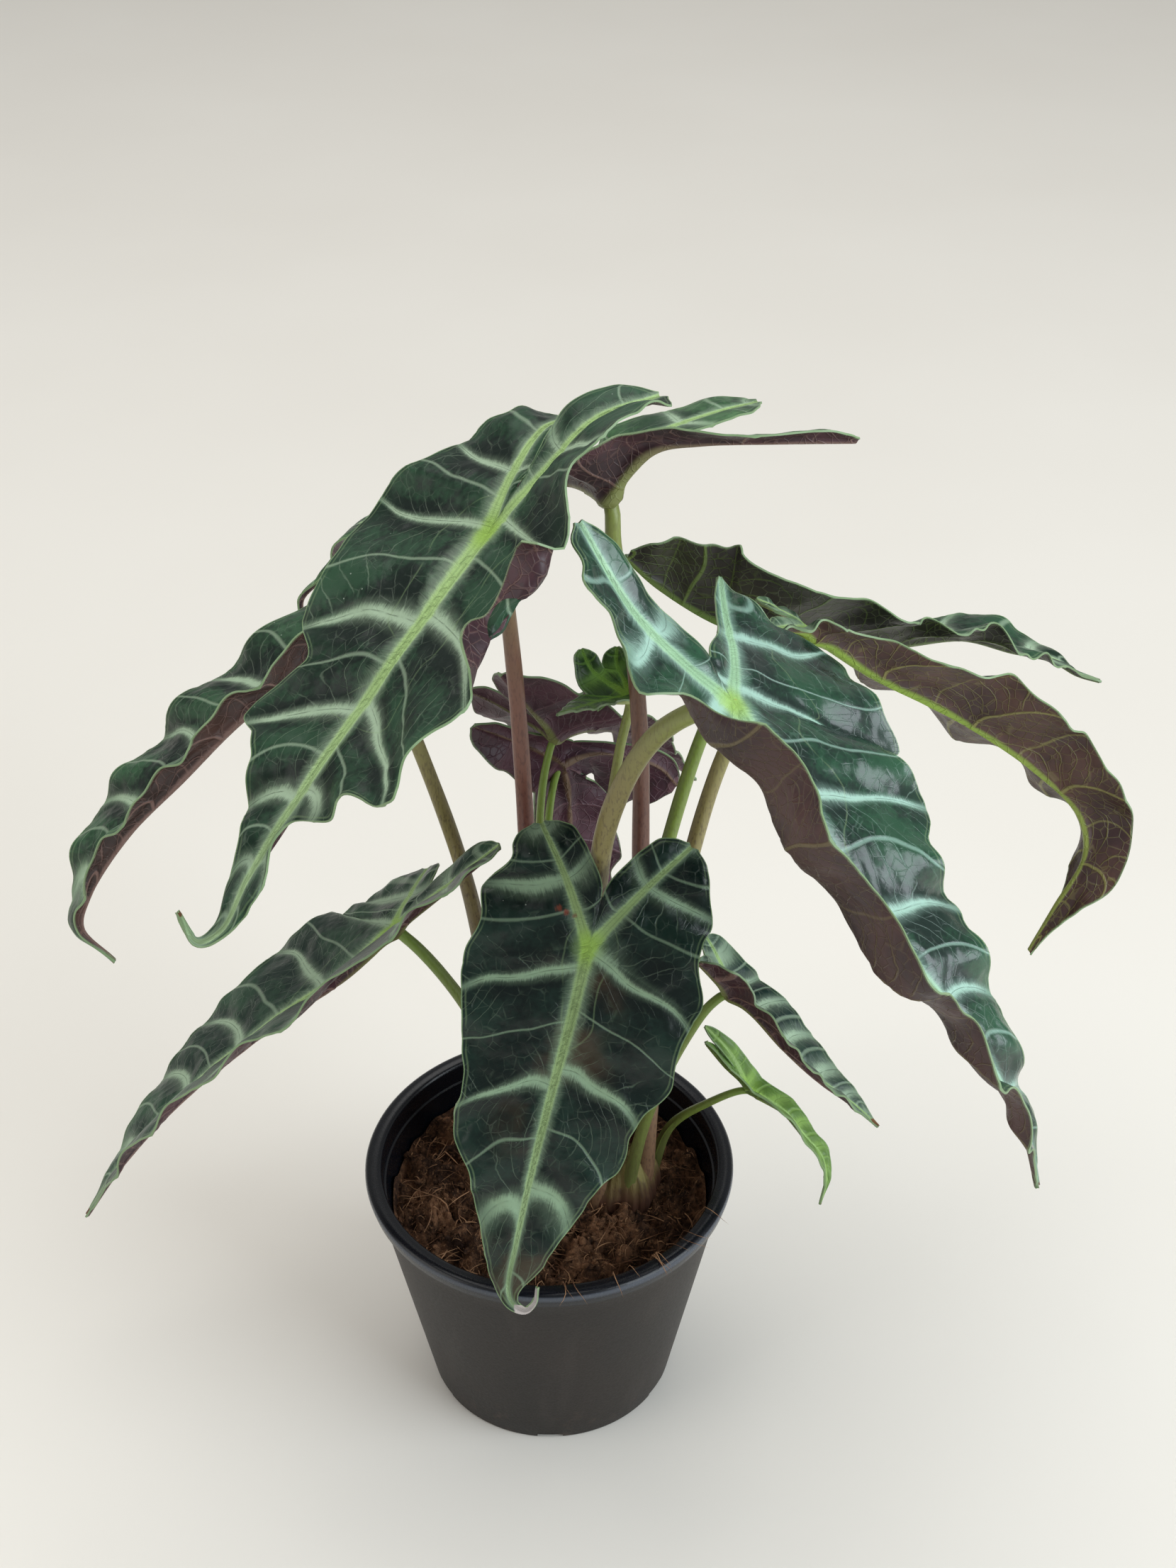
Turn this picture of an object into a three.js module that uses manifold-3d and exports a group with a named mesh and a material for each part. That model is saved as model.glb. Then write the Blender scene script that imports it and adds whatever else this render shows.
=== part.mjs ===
// Alocasia in a plastic nursery pot: thirteen arrow-shaped leaves on long petioles.
// Millimetres, +Z up, origin on the pot's axis at the level of the table.
// The front of the pot is towards -Y, and the wall behind it would be at +Y.
import * as THREE from 'three';
import { mergeVertices } from 'three/addons/utils/BufferGeometryUtils.js';
import Module from 'manifold-3d';

const wasm = await Module();
wasm.setup();

// Pot
const potHeight = 126;
const rimRadius = 85;
const baseRadius = 58;
const wall = 1.6;
const rimBand = 8;
const collarDrop = 8;
const baseRaise = 4;
const centrePadRadius = 20;
const footRingWidth = 6;
const drainHoles = 6;
const drainHoleRadius = 4.5;
const drainHoleCircle = 38;
const footNotchWidth = 12;
const footNotchHeight = 2.6;
const potSides = 40;

// Soil
const soilLevel = 106;
const soilLumpHeight = 3.5;
const soilRings = 6;
const soilSides = 36;

// Clearance between pieces that touch
const seatGap = 0.3;

// Blades
const bladeThickness = 0.8;
const rowsPerVein = 3;
const midribVeins = 5;
const ribVeins = 2;
const outerColumns = 3;
const innerColumns = 2;
const scallopDepth = 0.05;
const waveReach = 25;

// Petioles
const petioleSides = 8;

// Places along a blade where width, tilt and curl are given: lobe tip, half lobe,
// insertion, a third and two thirds of the midrib, apex
const stations = [-1, -0.5, 0, 0.33, 0.67, 1];

// Degrees by which the veins lean along a blade, away from square to its rib
const veinLean = [[-1, -30], [-0.5, -18], [-0.08, -10], [0.08, 22], [0.33, 28], [0.67, 36], [1, 48]];

// Half width of a blade outside its ribs, as a share of the widest place
const outerProfile = [
  [-1, 0.07], [-0.93, 0.33], [-0.8, 0.56], [-0.5, 0.8], [-0.2, 0.95], [0, 1], [0.15, 1],
  [0.35, 0.9], [0.55, 0.7], [0.75, 0.42], [0.88, 0.18], [0.95, 0.07], [1, 0.03],
];

// The same on the sinus side of a lobe's rib, from the insertion to the lobe tip
const innerProfile = [
  [0, 0], [0.15, 0.4], [0.35, 0.75], [0.6, 1], [0.8, 0.9], [0.93, 0.5], [1, 0.1],
];

const greenTop = new THREE.Color(0.02, 0.075, 0.05);
const petioleRed = new THREE.Color(0.19, 0.085, 0.06);
const petioleOlive = new THREE.Color(0.22, 0.2, 0.07);
const petioleGreen = new THREE.Color(0.2, 0.32, 0.07);

// Each leaf: its petiole from the crown to the insertion, the midrib from the insertion
// to the apex, and on each side the rib of the back lobe from the insertion to its tip.
// face is the way the upper side looks at the insertion. Left and right are as seen from
// above, looking along the midrib. At the stations, width is the half's breadth before its
// profile, tilt raises the half out of flat, and curl rolls it up towards its margin.
// Swells, each a place, a half length and millimetres, make bays and ears in a margin, and
// roll turns a lobe about its rib.
const leaves = [
  {
    name: 'leaf_01', crown: 'crown_left', colour: petioleRed, radius: [5, 3],
    petiole: [[-4, 4, 104], [-7, 9, 210], [-8, 10, 300], [-11, 6, 380], [-15, -8, 440], [-19, -22, 462]],
    midrib: [[-19, -22, 462], [-36, -46, 449], [-61, -68, 421], [-85, -90, 394], [-105, -104, 366],
      [-115, -111, 348], [-124, -113, 344], [-130, -110, 355]],
    face: [-0.42, -0.42, 0.8], join: 0.22, inner: 15, wave: 3,
    right: { rib: [[-19, -22, 462], [-8, 0, 480], [1, 14, 487], [8, 22, 487]],
      width: [44, 44, 58, 48, 30, 18], tilt: [-5, -10, 0, 0, 5, 0], curl: [0, 0, 0, 0, 0, 0],
      swells: [[-0.75, 0.1, -5], [0.3, 0.06, -9], [0.395, 0.03, 9], [0.72, 0.1, -5]] },
    left: { rib: [[-19, -22, 462], [0, -13, 480], [20, -2, 498], [44, 8, 503]],
      width: [36, 42, 48, 46, 24, 16], tilt: [20, 38, 15, 5, 0, 0], curl: [0, 0, 0, 30, 0, 0],
      swells: [[0.3, 0.12, 20], [0.63, 0.09, -13]] },
  },
  {
    name: 'leaf_02', crown: 'crown_left', colour: petioleOlive, radius: [4.6, 2.8],
    petiole: [[-19, 8, 104], [-25, 13, 200], [-34, 17, 270], [-52, 24, 335], [-68, 29, 380],
      [-78, 30, 396]],
    midrib: [[-78, 30, 396], [-102, 15, 378], [-125, 5, 362], [-147, -3, 341], [-171, -9, 317],
      [-190, -14, 288], [-194, -16, 272], [-182, -18, 257]],
    face: [-0.5, -0.28, 0.82], join: 0.22, inner: 12, wave: 4,
    right: { rib: [[-78, 30, 396], [-64, 38, 404], [-50, 50, 406]],
      width: [34, 34, 32, 44, 44, 40], tilt: [0, 0, -5, -8, 0, 10], curl: [0, 0, 0, 0, 0, 0] },
    left: { rib: [[-78, 30, 396], [-62, 20, 410], [-44, 12, 420]],
      width: [30, 22, 16, 15, 16, 16], tilt: [0, 30, 60, 64, 60, 10], curl: [0, 0, 0, 0, 0, 0] },
  },
  {
    name: 'leaf_03', crown: 'crown_right', colour: petioleRed, radius: [5, 3.1],
    petiole: [[38, 9, 104], [40, 10, 200], [40, 11, 290], [39, 13, 350], [35, 19, 395], [28, 26, 430],
      [26, 30, 450]],
    midrib: [[26, 30, 451], [9, 60, 443], [-14, 80, 428], [-39, 92, 415], [-63, 97, 408],
      [-83, 97, 400], [-96, 92, 381], [-106, 88, 371], [-106, 86, 362]],
    face: [-0.25, 0.31, 0.92], join: 0.2, inner: 14, wave: 3,
    right: { roll: 24, rib: [[26, 30, 451], [36, 39, 465], [48, 50, 469], [66, 66, 468], [86, 80, 467]],
      width: [30, 22, 34, 40, 36, 30], tilt: [0, 0, 0, -15, -15, 0], curl: [0, 0, 0, 0, 0, 0],
      wave: 1 },
    left: { rib: [[26, 30, 451], [32, 28, 462], [44, 26, 474], [60, 25, 477], [91, 26, 477],
      [120, 30, 475]],
      width: [20, 18, 22, 34, 34, 28], tilt: [14, 4, 55, 30, -15, 0], curl: [0, 0, 0, 0, 0, 0],
      swells: [[-0.25, 0.12, -5]], wave: 1 },
  },
  {
    name: 'leaf_04', crown: 'crown_right', colour: petioleOlive, radius: [5.6, 4],
    petiole: [[22, -7, 104], [20, -13, 200], [21, -15, 290], [28, -22, 340], [46, -36, 385],
      [71, -60, 413]],
    midrib: [[71, -60, 413], [94, -90, 391], [116, -112, 362], [135, -122, 341], [155, -130, 318],
      [172, -132, 289], [184, -130, 263], [192, -126, 234]],
    face: [0.48, -0.48, 0.73], join: 0.22, inner: 12, wave: 4,
    right: { rib: [[71, -60, 413], [51, -59, 431], [33, -55, 450], [15, -45, 479]],
      width: [24, 16, 66, 58, 42, 24], tilt: [0, 0, -8, 0, 0, 0], curl: [0, 30, 115, 104, 90, 30],
      swells: [[-0.72, 0.07, 8], [-0.35, 0.07, 20]] },
    left: { rib: [[71, -60, 413], [72, -30, 417], [70, -10, 421], [69, 10, 426]],
      width: [8, 44, 70, 46, 31, 20], tilt: [0, 0, -5, -5, -5, 0], curl: [0, 0, 0, 0, 0, 0],
      swells: [[-0.62, 0.04, 7], [-0.54, 0.09, 18], [-0.47, 0.06, 9], [-0.36, 0.09, 20], [-0.2, 0.1, 23],
        [0.06, 0.05, -7]],
      inner: 5 },
  },
  {
    name: 'leaf_05', crown: 'crown_right', colour: petioleGreen, radius: [4.4, 2.8],
    petiole: [[31, 19, 104], [38, 28, 200], [51, 38, 270], [68, 50, 330], [83, 58, 360], [91, 59, 372]],
    midrib: [[91, 59, 372], [109, 69, 363], [131, 80, 355], [152, 90, 348], [184, 103, 343],
      [208, 110, 332], [228, 115, 324], [241, 117, 315], [251, 118, 311]],
    face: [0.32, 0.17, 0.93], join: 0.22, inner: 13, wave: 3,
    right: { rib: [[91, 59, 372], [71, 60, 378], [47, 60, 394], [34, 58, 408]],
      width: [38, 38, 38, 36, 34, 26], tilt: [60, 72, 48, 40, 15, 0], curl: [0, 0, 0, 0, 0, 0],
      swells: [[-0.25, 0.12, 8], [0.3, 0.06, -6]] },
    left: { rib: [[91, 59, 372], [81, 74, 377], [74, 90, 385]],
      width: [34, 34, 36, 36, 34, 26], tilt: [0, 0, -20, -28, 15, 0], curl: [0, 0, 0, 0, 0, 0],
      swells: [[-0.17, 0.12, -10], [0.02, 0.06, 6], [0.44, 0.09, -14]] },
  },
  {
    name: 'leaf_06', crown: 'crown_right', colour: petioleOlive, radius: [4.8, 3],
    petiole: [[43, -2, 104], [48, 4, 190], [58, 12, 270], [76, 22, 340], [98, 28, 380], [110, 30, 389]],
    midrib: [[110, 30, 389], [135, 36, 367], [159, 40, 351], [180, 42, 337], [208, 41, 316],
      [230, 37, 294], [234, 31, 275], [222, 22, 254], [212, 16, 235]],
    face: [0.63, 0.15, 0.76], join: 0.22, inner: 7, wave: 3,
    right: { rib: [[110, 30, 389], [100, 22, 396], [91, 14, 400]],
      width: [10, 12, 16, 38, 38, 40], tilt: [20, 40, 50, 58, 60, 30], curl: [0, 0, 0, 0, 0, 0] },
    left: { rib: [[110, 30, 389], [98, 32, 397], [86, 34, 402]],
      width: [10, 12, 14, 40, 32, 20], tilt: [0, -10, -24, -26, -20, 0], curl: [0, 0, 0, 0, 0, 0] },
  },
  {
    name: 'leaf_07', crown: 'crown_left', colour: petioleGreen, radius: [3.4, 1.6],
    petiole: [[-9, 17, 104], [-6, 32, 180], [-4, 46, 240], [-3, 56, 285], [0, 60, 306], [4, 62, 318]],
    midrib: [[4, 62, 318], [18, 78, 312], [34, 96, 298], [52, 114, 274], [69, 130, 248]],
    face: [0.36, 0.76, 0.55], join: 0.22, inner: 11, wave: 2,
    right: { rib: [[4, 62, 318], [-4, 54, 334], [-12, 46, 350], [-18, 40, 363]],
      width: [28, 30, 32, 24, 16, 12], tilt: [0, 20, 25, 4, 0, 0], curl: [0, 0, 0, 0, 0, 0] },
    left: { rib: [[4, 62, 318], [-10, 64, 326], [-22, 66, 333], [-33, 67, 338]],
      width: [26, 28, 30, 30, 30, 26], tilt: [0, 0, 0, 0, 0, 0], curl: [0, 0, 0, 0, 0, 0] },
  },
  {
    name: 'leaf_08', crown: 'crown_left', colour: petioleGreen, radius: [3.4, 1.6],
    petiole: [[3, 16, 104], [1, 34, 180], [-1, 50, 230], [0, 62, 270], [3, 68, 290], [6, 70, 299]],
    midrib: [[6, 70, 299], [8, 76, 281], [9, 82, 253], [10, 86, 225], [11, 88, 194], [11, 88, 159]],
    face: [0.1, 0.95, 0.25], join: 0.3, inner: 7, wave: 2,
    right: { rib: [[6, 70, 299], [20, 74, 301], [36, 79, 296], [50, 83, 287], [58, 85, 276]],
      width: [44, 44, 16, 26, 30, 26], tilt: [0, 10, 15, 20, 20, 0], curl: [0, 0, 0, 0, 0, 0],
      inner: 8 },
    left: { rib: [[6, 70, 299], [-3, 69, 305], [-16, 61, 317], [-31, 50, 331]],
      width: [17, 18, 18, 20, 22, 22], tilt: [-45, -48, -30, -50, -40, 0], curl: [0, 0, 0, 0, 0, 0] },
  },
  {
    name: 'leaf_09', crown: 'crown_right', colour: petioleOlive, radius: [3.6, 2],
    petiole: [[23, 13, 104], [20, 20, 200], [24, 28, 270], [31, 38, 325], [35, 44, 348]],
    midrib: [[35, 45, 349], [23, 22, 361], [13, -2, 373], [6, -18, 381]],
    face: [-0.25, -0.5, 0.85], join: 0.5, inner: 6, wave: 0.8,
    right: { rib: [[35, 45, 349], [25, 50, 353], [19, 53, 357], [15, 56, 365]],
      width: [12, 12, 14, 12, 10, 8], tilt: [20, 20, 0, -12, -12, 0], curl: [0, 0, 0, 0, 0, 0] },
    left: { rib: [[35, 45, 349], [33, 51, 353], [30, 55, 358], [30, 58, 365]],
      width: [8, 8, 8, 8, 7, 6], tilt: [20, 20, 15, 12, 0, 0], curl: [0, 0, 0, 0, 0, 0] },
  },
  {
    name: 'leaf_10', crown: 'crown_left', colour: petioleGreen, radius: [4, 2.4],
    petiole: [[-16, -4, 104], [-19, -4, 160], [-30, -6, 210], [-45, -8, 242], [-58, -10, 262],
      [-65, -10, 268]],
    midrib: [[-65, -10, 268], [-86, -14, 247], [-114, -19, 227], [-138, -24, 208], [-164, -28, 183],
      [-190, -32, 151], [-207, -34, 124]],
    face: [-0.67, -0.12, 0.73], join: 0.22, inner: 12, wave: 1.5,
    right: { rib: [[-65, -10, 268], [-58, 8, 272], [-52, 28, 271]],
      width: [34, 44, 56, 45, 36, 24], tilt: [0, 0, -3, -3, 0, 0], curl: [0, 0, 0, 0, 0, 0] },
    left: { rib: [[-65, -10, 268], [-42, -10, 289], [-19, -10, 311]],
      width: [28, 30, 36, 36, 36, 30], tilt: [20, 32, 30, 30, 28, 0], curl: [0, 0, 0, 0, 0, 0] },
  },
  {
    name: 'leaf_11', crown: 'crown_left', colour: petioleGreen, radius: [4.6, 2.8],
    petiole: [[4, -8, 104], [8, -14, 180], [12, -24, 240], [16, -36, 274], [18, -45, 286]],
    midrib: [[18, -45, 286], [11, -56, 258], [2, -68, 224], [-6, -78, 191], [-12, -86, 162],
      [-16, -92, 138], [-14, -95, 133], [-9, -97, 131], [-5, -96, 134], [-4, -94, 141]],
    face: [0, -0.85, 0.53], join: 0.25, inner: 14, wave: 2,
    right: { rib: [[18, -45, 286], [9, -28, 308], [-1, -12, 324]],
      width: [28, 40, 49, 41, 29, 12], tilt: [0, 0, 0, 0, 0, 0], curl: [0, 0, 0, 0, 0, 0],
      swells: [[-0.72, 0.12, -4], [0.2, 0.07, -5]] },
    left: { rib: [[18, -45, 286], [39, -28, 300], [60, -12, 312]],
      width: [26, 38, 51, 40, 31, 12], tilt: [0, 0, 0, 0, 0, 0], curl: [0, 0, 0, 0, 0, 0] },
  },
  {
    name: 'leaf_12', crown: 'crown_right', colour: petioleGreen, radius: [3.6, 2],
    petiole: [[34, -10, 104], [44, -10, 160], [60, -14, 210], [71, -18, 234], [78, -20, 241]],
    midrib: [[78, -20, 241], [87, -26, 237], [102, -34, 222], [117, -41, 210], [131, -46, 201],
      [141, -50, 193]],
    face: [0.58, -0.31, 0.75], join: 0.22, inner: 7, wave: 1,
    right: { rib: [[78, -20, 241], [71, -23, 252], [64, -25, 262]],
      width: [14, 17, 18, 18, 16, 12], tilt: [70, 74, 60, 50, 45, 0], curl: [0, 0, 0, 0, 0, 0] },
    left: { rib: [[78, -20, 241], [74, -11, 250], [68, -3, 258]],
      width: [12, 14, 20, 20, 18, 16], tilt: [0, 0, 0, 0, 0, 0], curl: [0, 0, 0, 0, 0, 0] },
  },
  {
    name: 'leaf_13', crown: 'crown_right', colour: petioleGreen, radius: [3, 1.6],
    petiole: [[48, 12, 106], [56, 10, 136], [71, 5, 154], [90, 0, 168]],
    midrib: [[90, 0, 168], [106, -9, 162], [115, -14, 152], [122, -18, 145], [125, -22, 134],
      [123, -25, 121]],
    face: [0.43, -0.24, 0.87], join: 0.3, inner: 4, wave: 0.6,
    right: { rib: [[90, 0, 168], [80, 1, 180], [70, 2, 194]],
      width: [6, 7, 9, 9, 9, 8], tilt: [50, 50, 50, 40, 20, 0], curl: [0, 0, 0, 0, 0, 0] },
    left: { rib: [[90, 0, 168], [82, 5, 184], [70, 8, 198]],
      width: [6, 6, 9, 9, 8, 8], tilt: [20, 20, 0, 0, 10, 0], curl: [0, 0, 0, 0, 0, 0] },
  },
];

const radians = THREE.MathUtils.degToRad;
const vector = (p) => new THREE.Vector3(...p);

// A value read off a list of [place, value] pairs, eased from one to the next
function readOff(list, place) {
  let i = 0;
  while (i < list.length - 2 && place > list[i + 1][0]) i += 1;
  const [[a, from], [b, to]] = [list[i], list[i + 1]];
  const share = THREE.MathUtils.clamp((place - a) / (b - a), 0, 1);
  return from + (to - from) * share;
}

function atStation(values, place) {
  let i = 0;
  while (i < stations.length - 2 && place > stations[i + 1]) i += 1;
  const share = THREE.MathUtils.smoothstep(place, stations[i], stations[i + 1]);
  return values[i] + (values[i + 1] - values[i]) * share;
}

// Points, forward directions and face normals along a rib, the normals turned as little
// as the rib's bends allow
function carryAlong(points, face, count, roll = 0) {
  const curve = new THREE.CatmullRomCurve3(points.map(vector), false, 'centripetal');
  const normal = vector(face);
  const places = [];
  for (let i = 0; i <= count; i += 1) {
    const along = i / count;
    const tangent = curve.getTangentAt(along);
    normal.addScaledVector(tangent, -normal.dot(tangent)).normalize();
    const turn = radians(roll) * THREE.MathUtils.smoothstep(along, 0, 0.4);
    const turned = normal.clone().applyAxisAngle(tangent, turn);
    places.push({ point: curve.getPointAt(along), tangent, normal: turned });
  }
  return places;
}

// The place on a carried rib at a share of its length
function placeOn(places, along) {
  const at = THREE.MathUtils.clamp(along, 0, 1) * (places.length - 1);
  const i = Math.min(Math.floor(at), places.length - 2);
  const mix = (key) => places[i][key].clone().lerp(places[i + 1][key], at - i);
  return { point: mix('point'), tangent: mix('tangent').normalize(), normal: mix('normal').normalize() };
}

// One row of a half blade: where it leaves the rib, which way it runs, and its upward normal
function rowAt(leaf, side, sign, place) {
  const cornerHalf = 0.2;
  const raw = (s) => {
    const back = s < 0;
    const at = placeOn(back ? side.ribPlaces : leaf.midribPlaces, Math.abs(s));
    const forward = back ? at.tangent.clone().negate() : at.tangent;
    const out = new THREE.Vector3().crossVectors(forward, at.normal).multiplyScalar(sign);
    const tilt = radians(atStation(side.tilt, s));
    const lean = radians(readOff(veinLean, s));
    const raised = out.clone().multiplyScalar(Math.cos(tilt)).addScaledVector(at.normal, Math.sin(tilt));
    const up = at.normal.clone().multiplyScalar(Math.cos(tilt)).addScaledVector(out, -Math.sin(tilt));
    const run = raised.multiplyScalar(Math.cos(lean)).addScaledVector(forward, Math.sin(lean));
    return { point: at.point, run, up, lean };
  };
  const here = raw(place);
  if (Math.abs(place) >= cornerHalf) return here;
  const before = raw(-cornerHalf);
  const after = raw(cornerHalf);
  const share = THREE.MathUtils.smoothstep(place, -cornerHalf, cornerHalf);
  const run = before.run.lerp(after.run, share).normalize();
  const up = before.up.lerp(after.up, share);
  up.addScaledVector(run, -up.dot(run)).normalize();
  return { point: here.point, run, up, lean: here.lean };
}

// How far along the veins a place is: whole numbers are on a primary vein
const veinPhase = (place) => (place >= 0 ? place * midribVeins : place * ribVeins);

// A point of a half blade, t = 0 on the rib and 1 on the outer margin
function outerPoint(leaf, side, sign, place, t) {
  const row = rowAt(leaf, side, sign, place);
  const phase = veinPhase(place) + side.phase;
  const nearTip = 1 - THREE.MathUtils.smoothstep(Math.abs(place), 0.75, 1);
  const scallop = 1 + scallopDepth * nearTip * Math.cos(2 * Math.PI * phase);
  let reach = atStation(side.width, place) * readOff(outerProfile, place) * scallop / Math.cos(row.lean);
  for (const [middle, half, more] of side.swells ?? []) {
    reach += more * Math.exp(-(((place - middle) / half) ** 2));
  }
  const curl = radians(atStation(side.curl, place)) || 1e-4;
  const outward = reach * Math.sin(curl * t) / curl;
  const upward = reach * (1 - Math.cos(curl * t)) / curl;
  const wave = (side.wave ?? leaf.wave) * Math.min(1, reach / waveReach);
  const ripple = -wave * nearTip * t * t * Math.cos(2 * Math.PI * phase);
  const lift = row.up.clone().multiplyScalar(Math.cos(curl * t))
    .addScaledVector(row.run, -Math.sin(curl * t));
  return row.point.clone().addScaledVector(row.run, outward).addScaledVector(row.up, upward)
    .addScaledVector(lift, ripple);
}

// The margin on the sinus side of a lobe, before the two lobes are joined
function sinusMargin(leaf, side, sign, along) {
  const at = placeOn(side.ribPlaces, along);
  const out = new THREE.Vector3().crossVectors(at.tangent, at.normal).multiplyScalar(sign);
  const lean = radians(20);
  const run = out.multiplyScalar(Math.cos(lean)).addScaledVector(at.tangent, Math.sin(lean));
  return at.point.clone().addScaledVector(run, (side.inner ?? leaf.inner) * readOff(innerProfile, along));
}

// The blade as a sheet without thickness: both halves, their lobes joined behind the
// insertion as far as leaf.join
function bladeSheet(leaf) {
  const points = [];
  const triangles = [];
  const keys = new Map();
  const keep = (key, make) => {
    if (!keys.has(key)) {
      keys.set(key, points.length);
      points.push(make());
    }
    return keys.get(key);
  };
  const midribRows = midribVeins * rowsPerVein;
  const ribRows = 2 * rowsPerVein;
  leaf.midribPlaces = carryAlong(leaf.midrib, leaf.face, 40);
  const sides = [['right', 1], ['left', -1]];
  for (const [name] of sides) {
    leaf[name].ribPlaces = carryAlong(leaf[name].rib, leaf.face, 20, leaf[name].roll);
    leaf[name].phase = name === 'right' ? 0 : 0.12;
  }
  const joined = (along) => {
    const [a, b] = sides.map(([name, sign]) => sinusMargin(leaf, leaf[name], sign, along));
    return a.lerp(b, 0.5);
  };
  for (const [name, sign] of sides) {
    const side = leaf[name];
    const place = (row) => (row >= 0 ? row / midribRows : row / ribRows);
    const outer = (row, column) => {
      if (column === 0) {
        return keep(row >= 0 ? `midrib ${row}` : `${name} rib ${row}`, () => (
          placeOn(row >= 0 ? leaf.midribPlaces : side.ribPlaces, Math.abs(place(row))).point));
      }
      return keep(`${name} outer ${row} ${column}`, () => (
        outerPoint(leaf, side, sign, place(row), column / outerColumns)));
    };
    const inner = (row, column) => {
      if (row === 0 || column === 0) return outer(row, 0);
      const along = -place(row);
      const shared = along <= leaf.join;
      const key = shared && column === innerColumns ? `suture ${row}` : `${name} inner ${row} ${column}`;
      return keep(key, () => {
        const own = sinusMargin(leaf, side, sign, along);
        const apart = THREE.MathUtils.smoothstep(along, leaf.join, leaf.join + 0.35);
        const margin = joined(along).lerp(own, shared ? 0 : Math.max(apart, 0.15));
        const rib = placeOn(side.ribPlaces, along).point;
        return rib.lerp(margin, column / innerColumns);
      });
    };
    const quad = (a, b, c, d) => {
      for (const triangle of [[a, b, c], [a, c, d]]) {
        if (new Set(triangle).size < 3) continue;
        triangles.push(sign > 0 ? triangle : [triangle[0], triangle[2], triangle[1]]);
      }
    };
    for (let row = -ribRows; row < midribRows; row += 1) {
      for (let column = 0; column < outerColumns; column += 1) {
        quad(outer(row, column), outer(row, column + 1), outer(row + 1, column + 1), outer(row + 1, column));
      }
      if (row >= 0) continue;
      for (let column = 0; column < innerColumns; column += 1) {
        quad(inner(row, column + 1), inner(row, column), inner(row + 1, column), inner(row + 1, column + 1));
      }
    }
  }
  return { points, triangles };
}

// A sheet given two faces and an edge, both faces split into triangles alike
function thicken({ points, triangles }, thickness) {
  const normals = points.map(() => new THREE.Vector3());
  const edges = new Map();
  for (const triangle of triangles) {
    const [a, b, c] = triangle.map((i) => points[i]);
    const normal = b.clone().sub(a).cross(c.clone().sub(a));
    triangle.forEach((corner, i) => {
      normals[corner].add(normal);
      const next = triangle[(i + 1) % 3];
      const twin = `${next} ${corner}`;
      if (edges.has(twin)) edges.delete(twin);
      else edges.set(`${corner} ${next}`, [corner, next]);
    });
  }
  const count = points.length;
  const faces = triangles.flatMap(([a, b, c]) => [[a, b, c], [c + count, b + count, a + count]]);
  for (const [a, b] of edges.values()) {
    faces.push([b, a, a + count], [b, a + count, b + count]);
  }
  const both = [0.5, -0.5].flatMap((half) => points.map((point, i) => (
    point.clone().addScaledVector(normals[i].clone().normalize(), half * thickness))));
  return meshGeometry(both, faces);
}

function meshGeometry(points, faces) {
  const geometry = new THREE.BufferGeometry();
  geometry.setAttribute('position', new THREE.Float32BufferAttribute(points.flatMap((p) => p.toArray()), 3));
  geometry.setIndex(faces.flat());
  return geometry;
}

// A round stem along a curve, its radius going from the first value to the second
function stem(points, [startRadius, endRadius], segments, grow = 0, overshoot = 0) {
  const curve = new THREE.CatmullRomCurve3(points.map(vector), false, 'centripetal');
  const places = [];
  let across = new THREE.Vector3(1, 0, 0);
  for (let i = 0; i <= segments; i += 1) {
    const tangent = curve.getTangentAt(i / segments);
    across = across.clone().addScaledVector(tangent, -across.dot(tangent)).normalize();
    places.push({ point: curve.getPointAt(i / segments), tangent, across, along: i / segments });
  }
  places[0].point.addScaledVector(places[0].tangent, -grow);
  places[segments].point.addScaledVector(places[segments].tangent, overshoot);
  const ring = [];
  for (const { point, tangent, across: side, along } of places) {
    const radius = startRadius + (endRadius - startRadius) * along ** 0.6 + grow;
    const other = new THREE.Vector3().crossVectors(tangent, side);
    for (let k = 0; k < petioleSides; k += 1) {
      const angle = (2 * Math.PI * k) / petioleSides;
      ring.push(point.clone().addScaledVector(side, radius * Math.cos(angle))
        .addScaledVector(other, radius * Math.sin(angle)));
    }
  }
  const faces = [];
  for (let i = 0; i < segments; i += 1) {
    for (let k = 0; k < petioleSides; k += 1) {
      const a = i * petioleSides + k;
      const b = i * petioleSides + ((k + 1) % petioleSides);
      faces.push([a, b, b + petioleSides], [a, b + petioleSides, a + petioleSides]);
    }
  }
  const last = segments * petioleSides;
  for (let k = 1; k < petioleSides - 1; k += 1) {
    faces.push([0, k + 1, k], [last, last + k, last + k + 1]);
  }
  return meshGeometry(ring, faces);
}

function solid(geometry) {
  const bare = geometry.clone();
  bare.deleteAttribute('normal');
  bare.deleteAttribute('uv');
  const merged = mergeVertices(bare, 1e-3);
  return new wasm.Manifold(new wasm.Mesh({
    numProp: 3,
    vertProperties: new Float32Array(merged.attributes.position.array),
    triVerts: new Uint32Array(merged.index.array),
  }));
}

function geometryOf(manifold) {
  const mesh = manifold.getMesh();
  const geometry = new THREE.BufferGeometry();
  geometry.setAttribute('position', new THREE.BufferAttribute(new Float32Array(mesh.vertProperties), 3));
  geometry.setIndex(Array.from(mesh.triVerts));
  return geometry;
}

// The largest of the bodies that a cut leaves
function largest(manifold) {
  const bodies = manifold.decompose();
  return bodies.reduce((best, body) => (body.volume() > best.volume() ? body : best));
}

// Pot
function innerRadius(z) {
  const top = rimRadius - rimBand;
  const bottom = baseRadius - wall - 0.6;
  return bottom + ((top - bottom) * (z - baseRaise)) / (potHeight - collarDrop - baseRaise);
}

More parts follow.
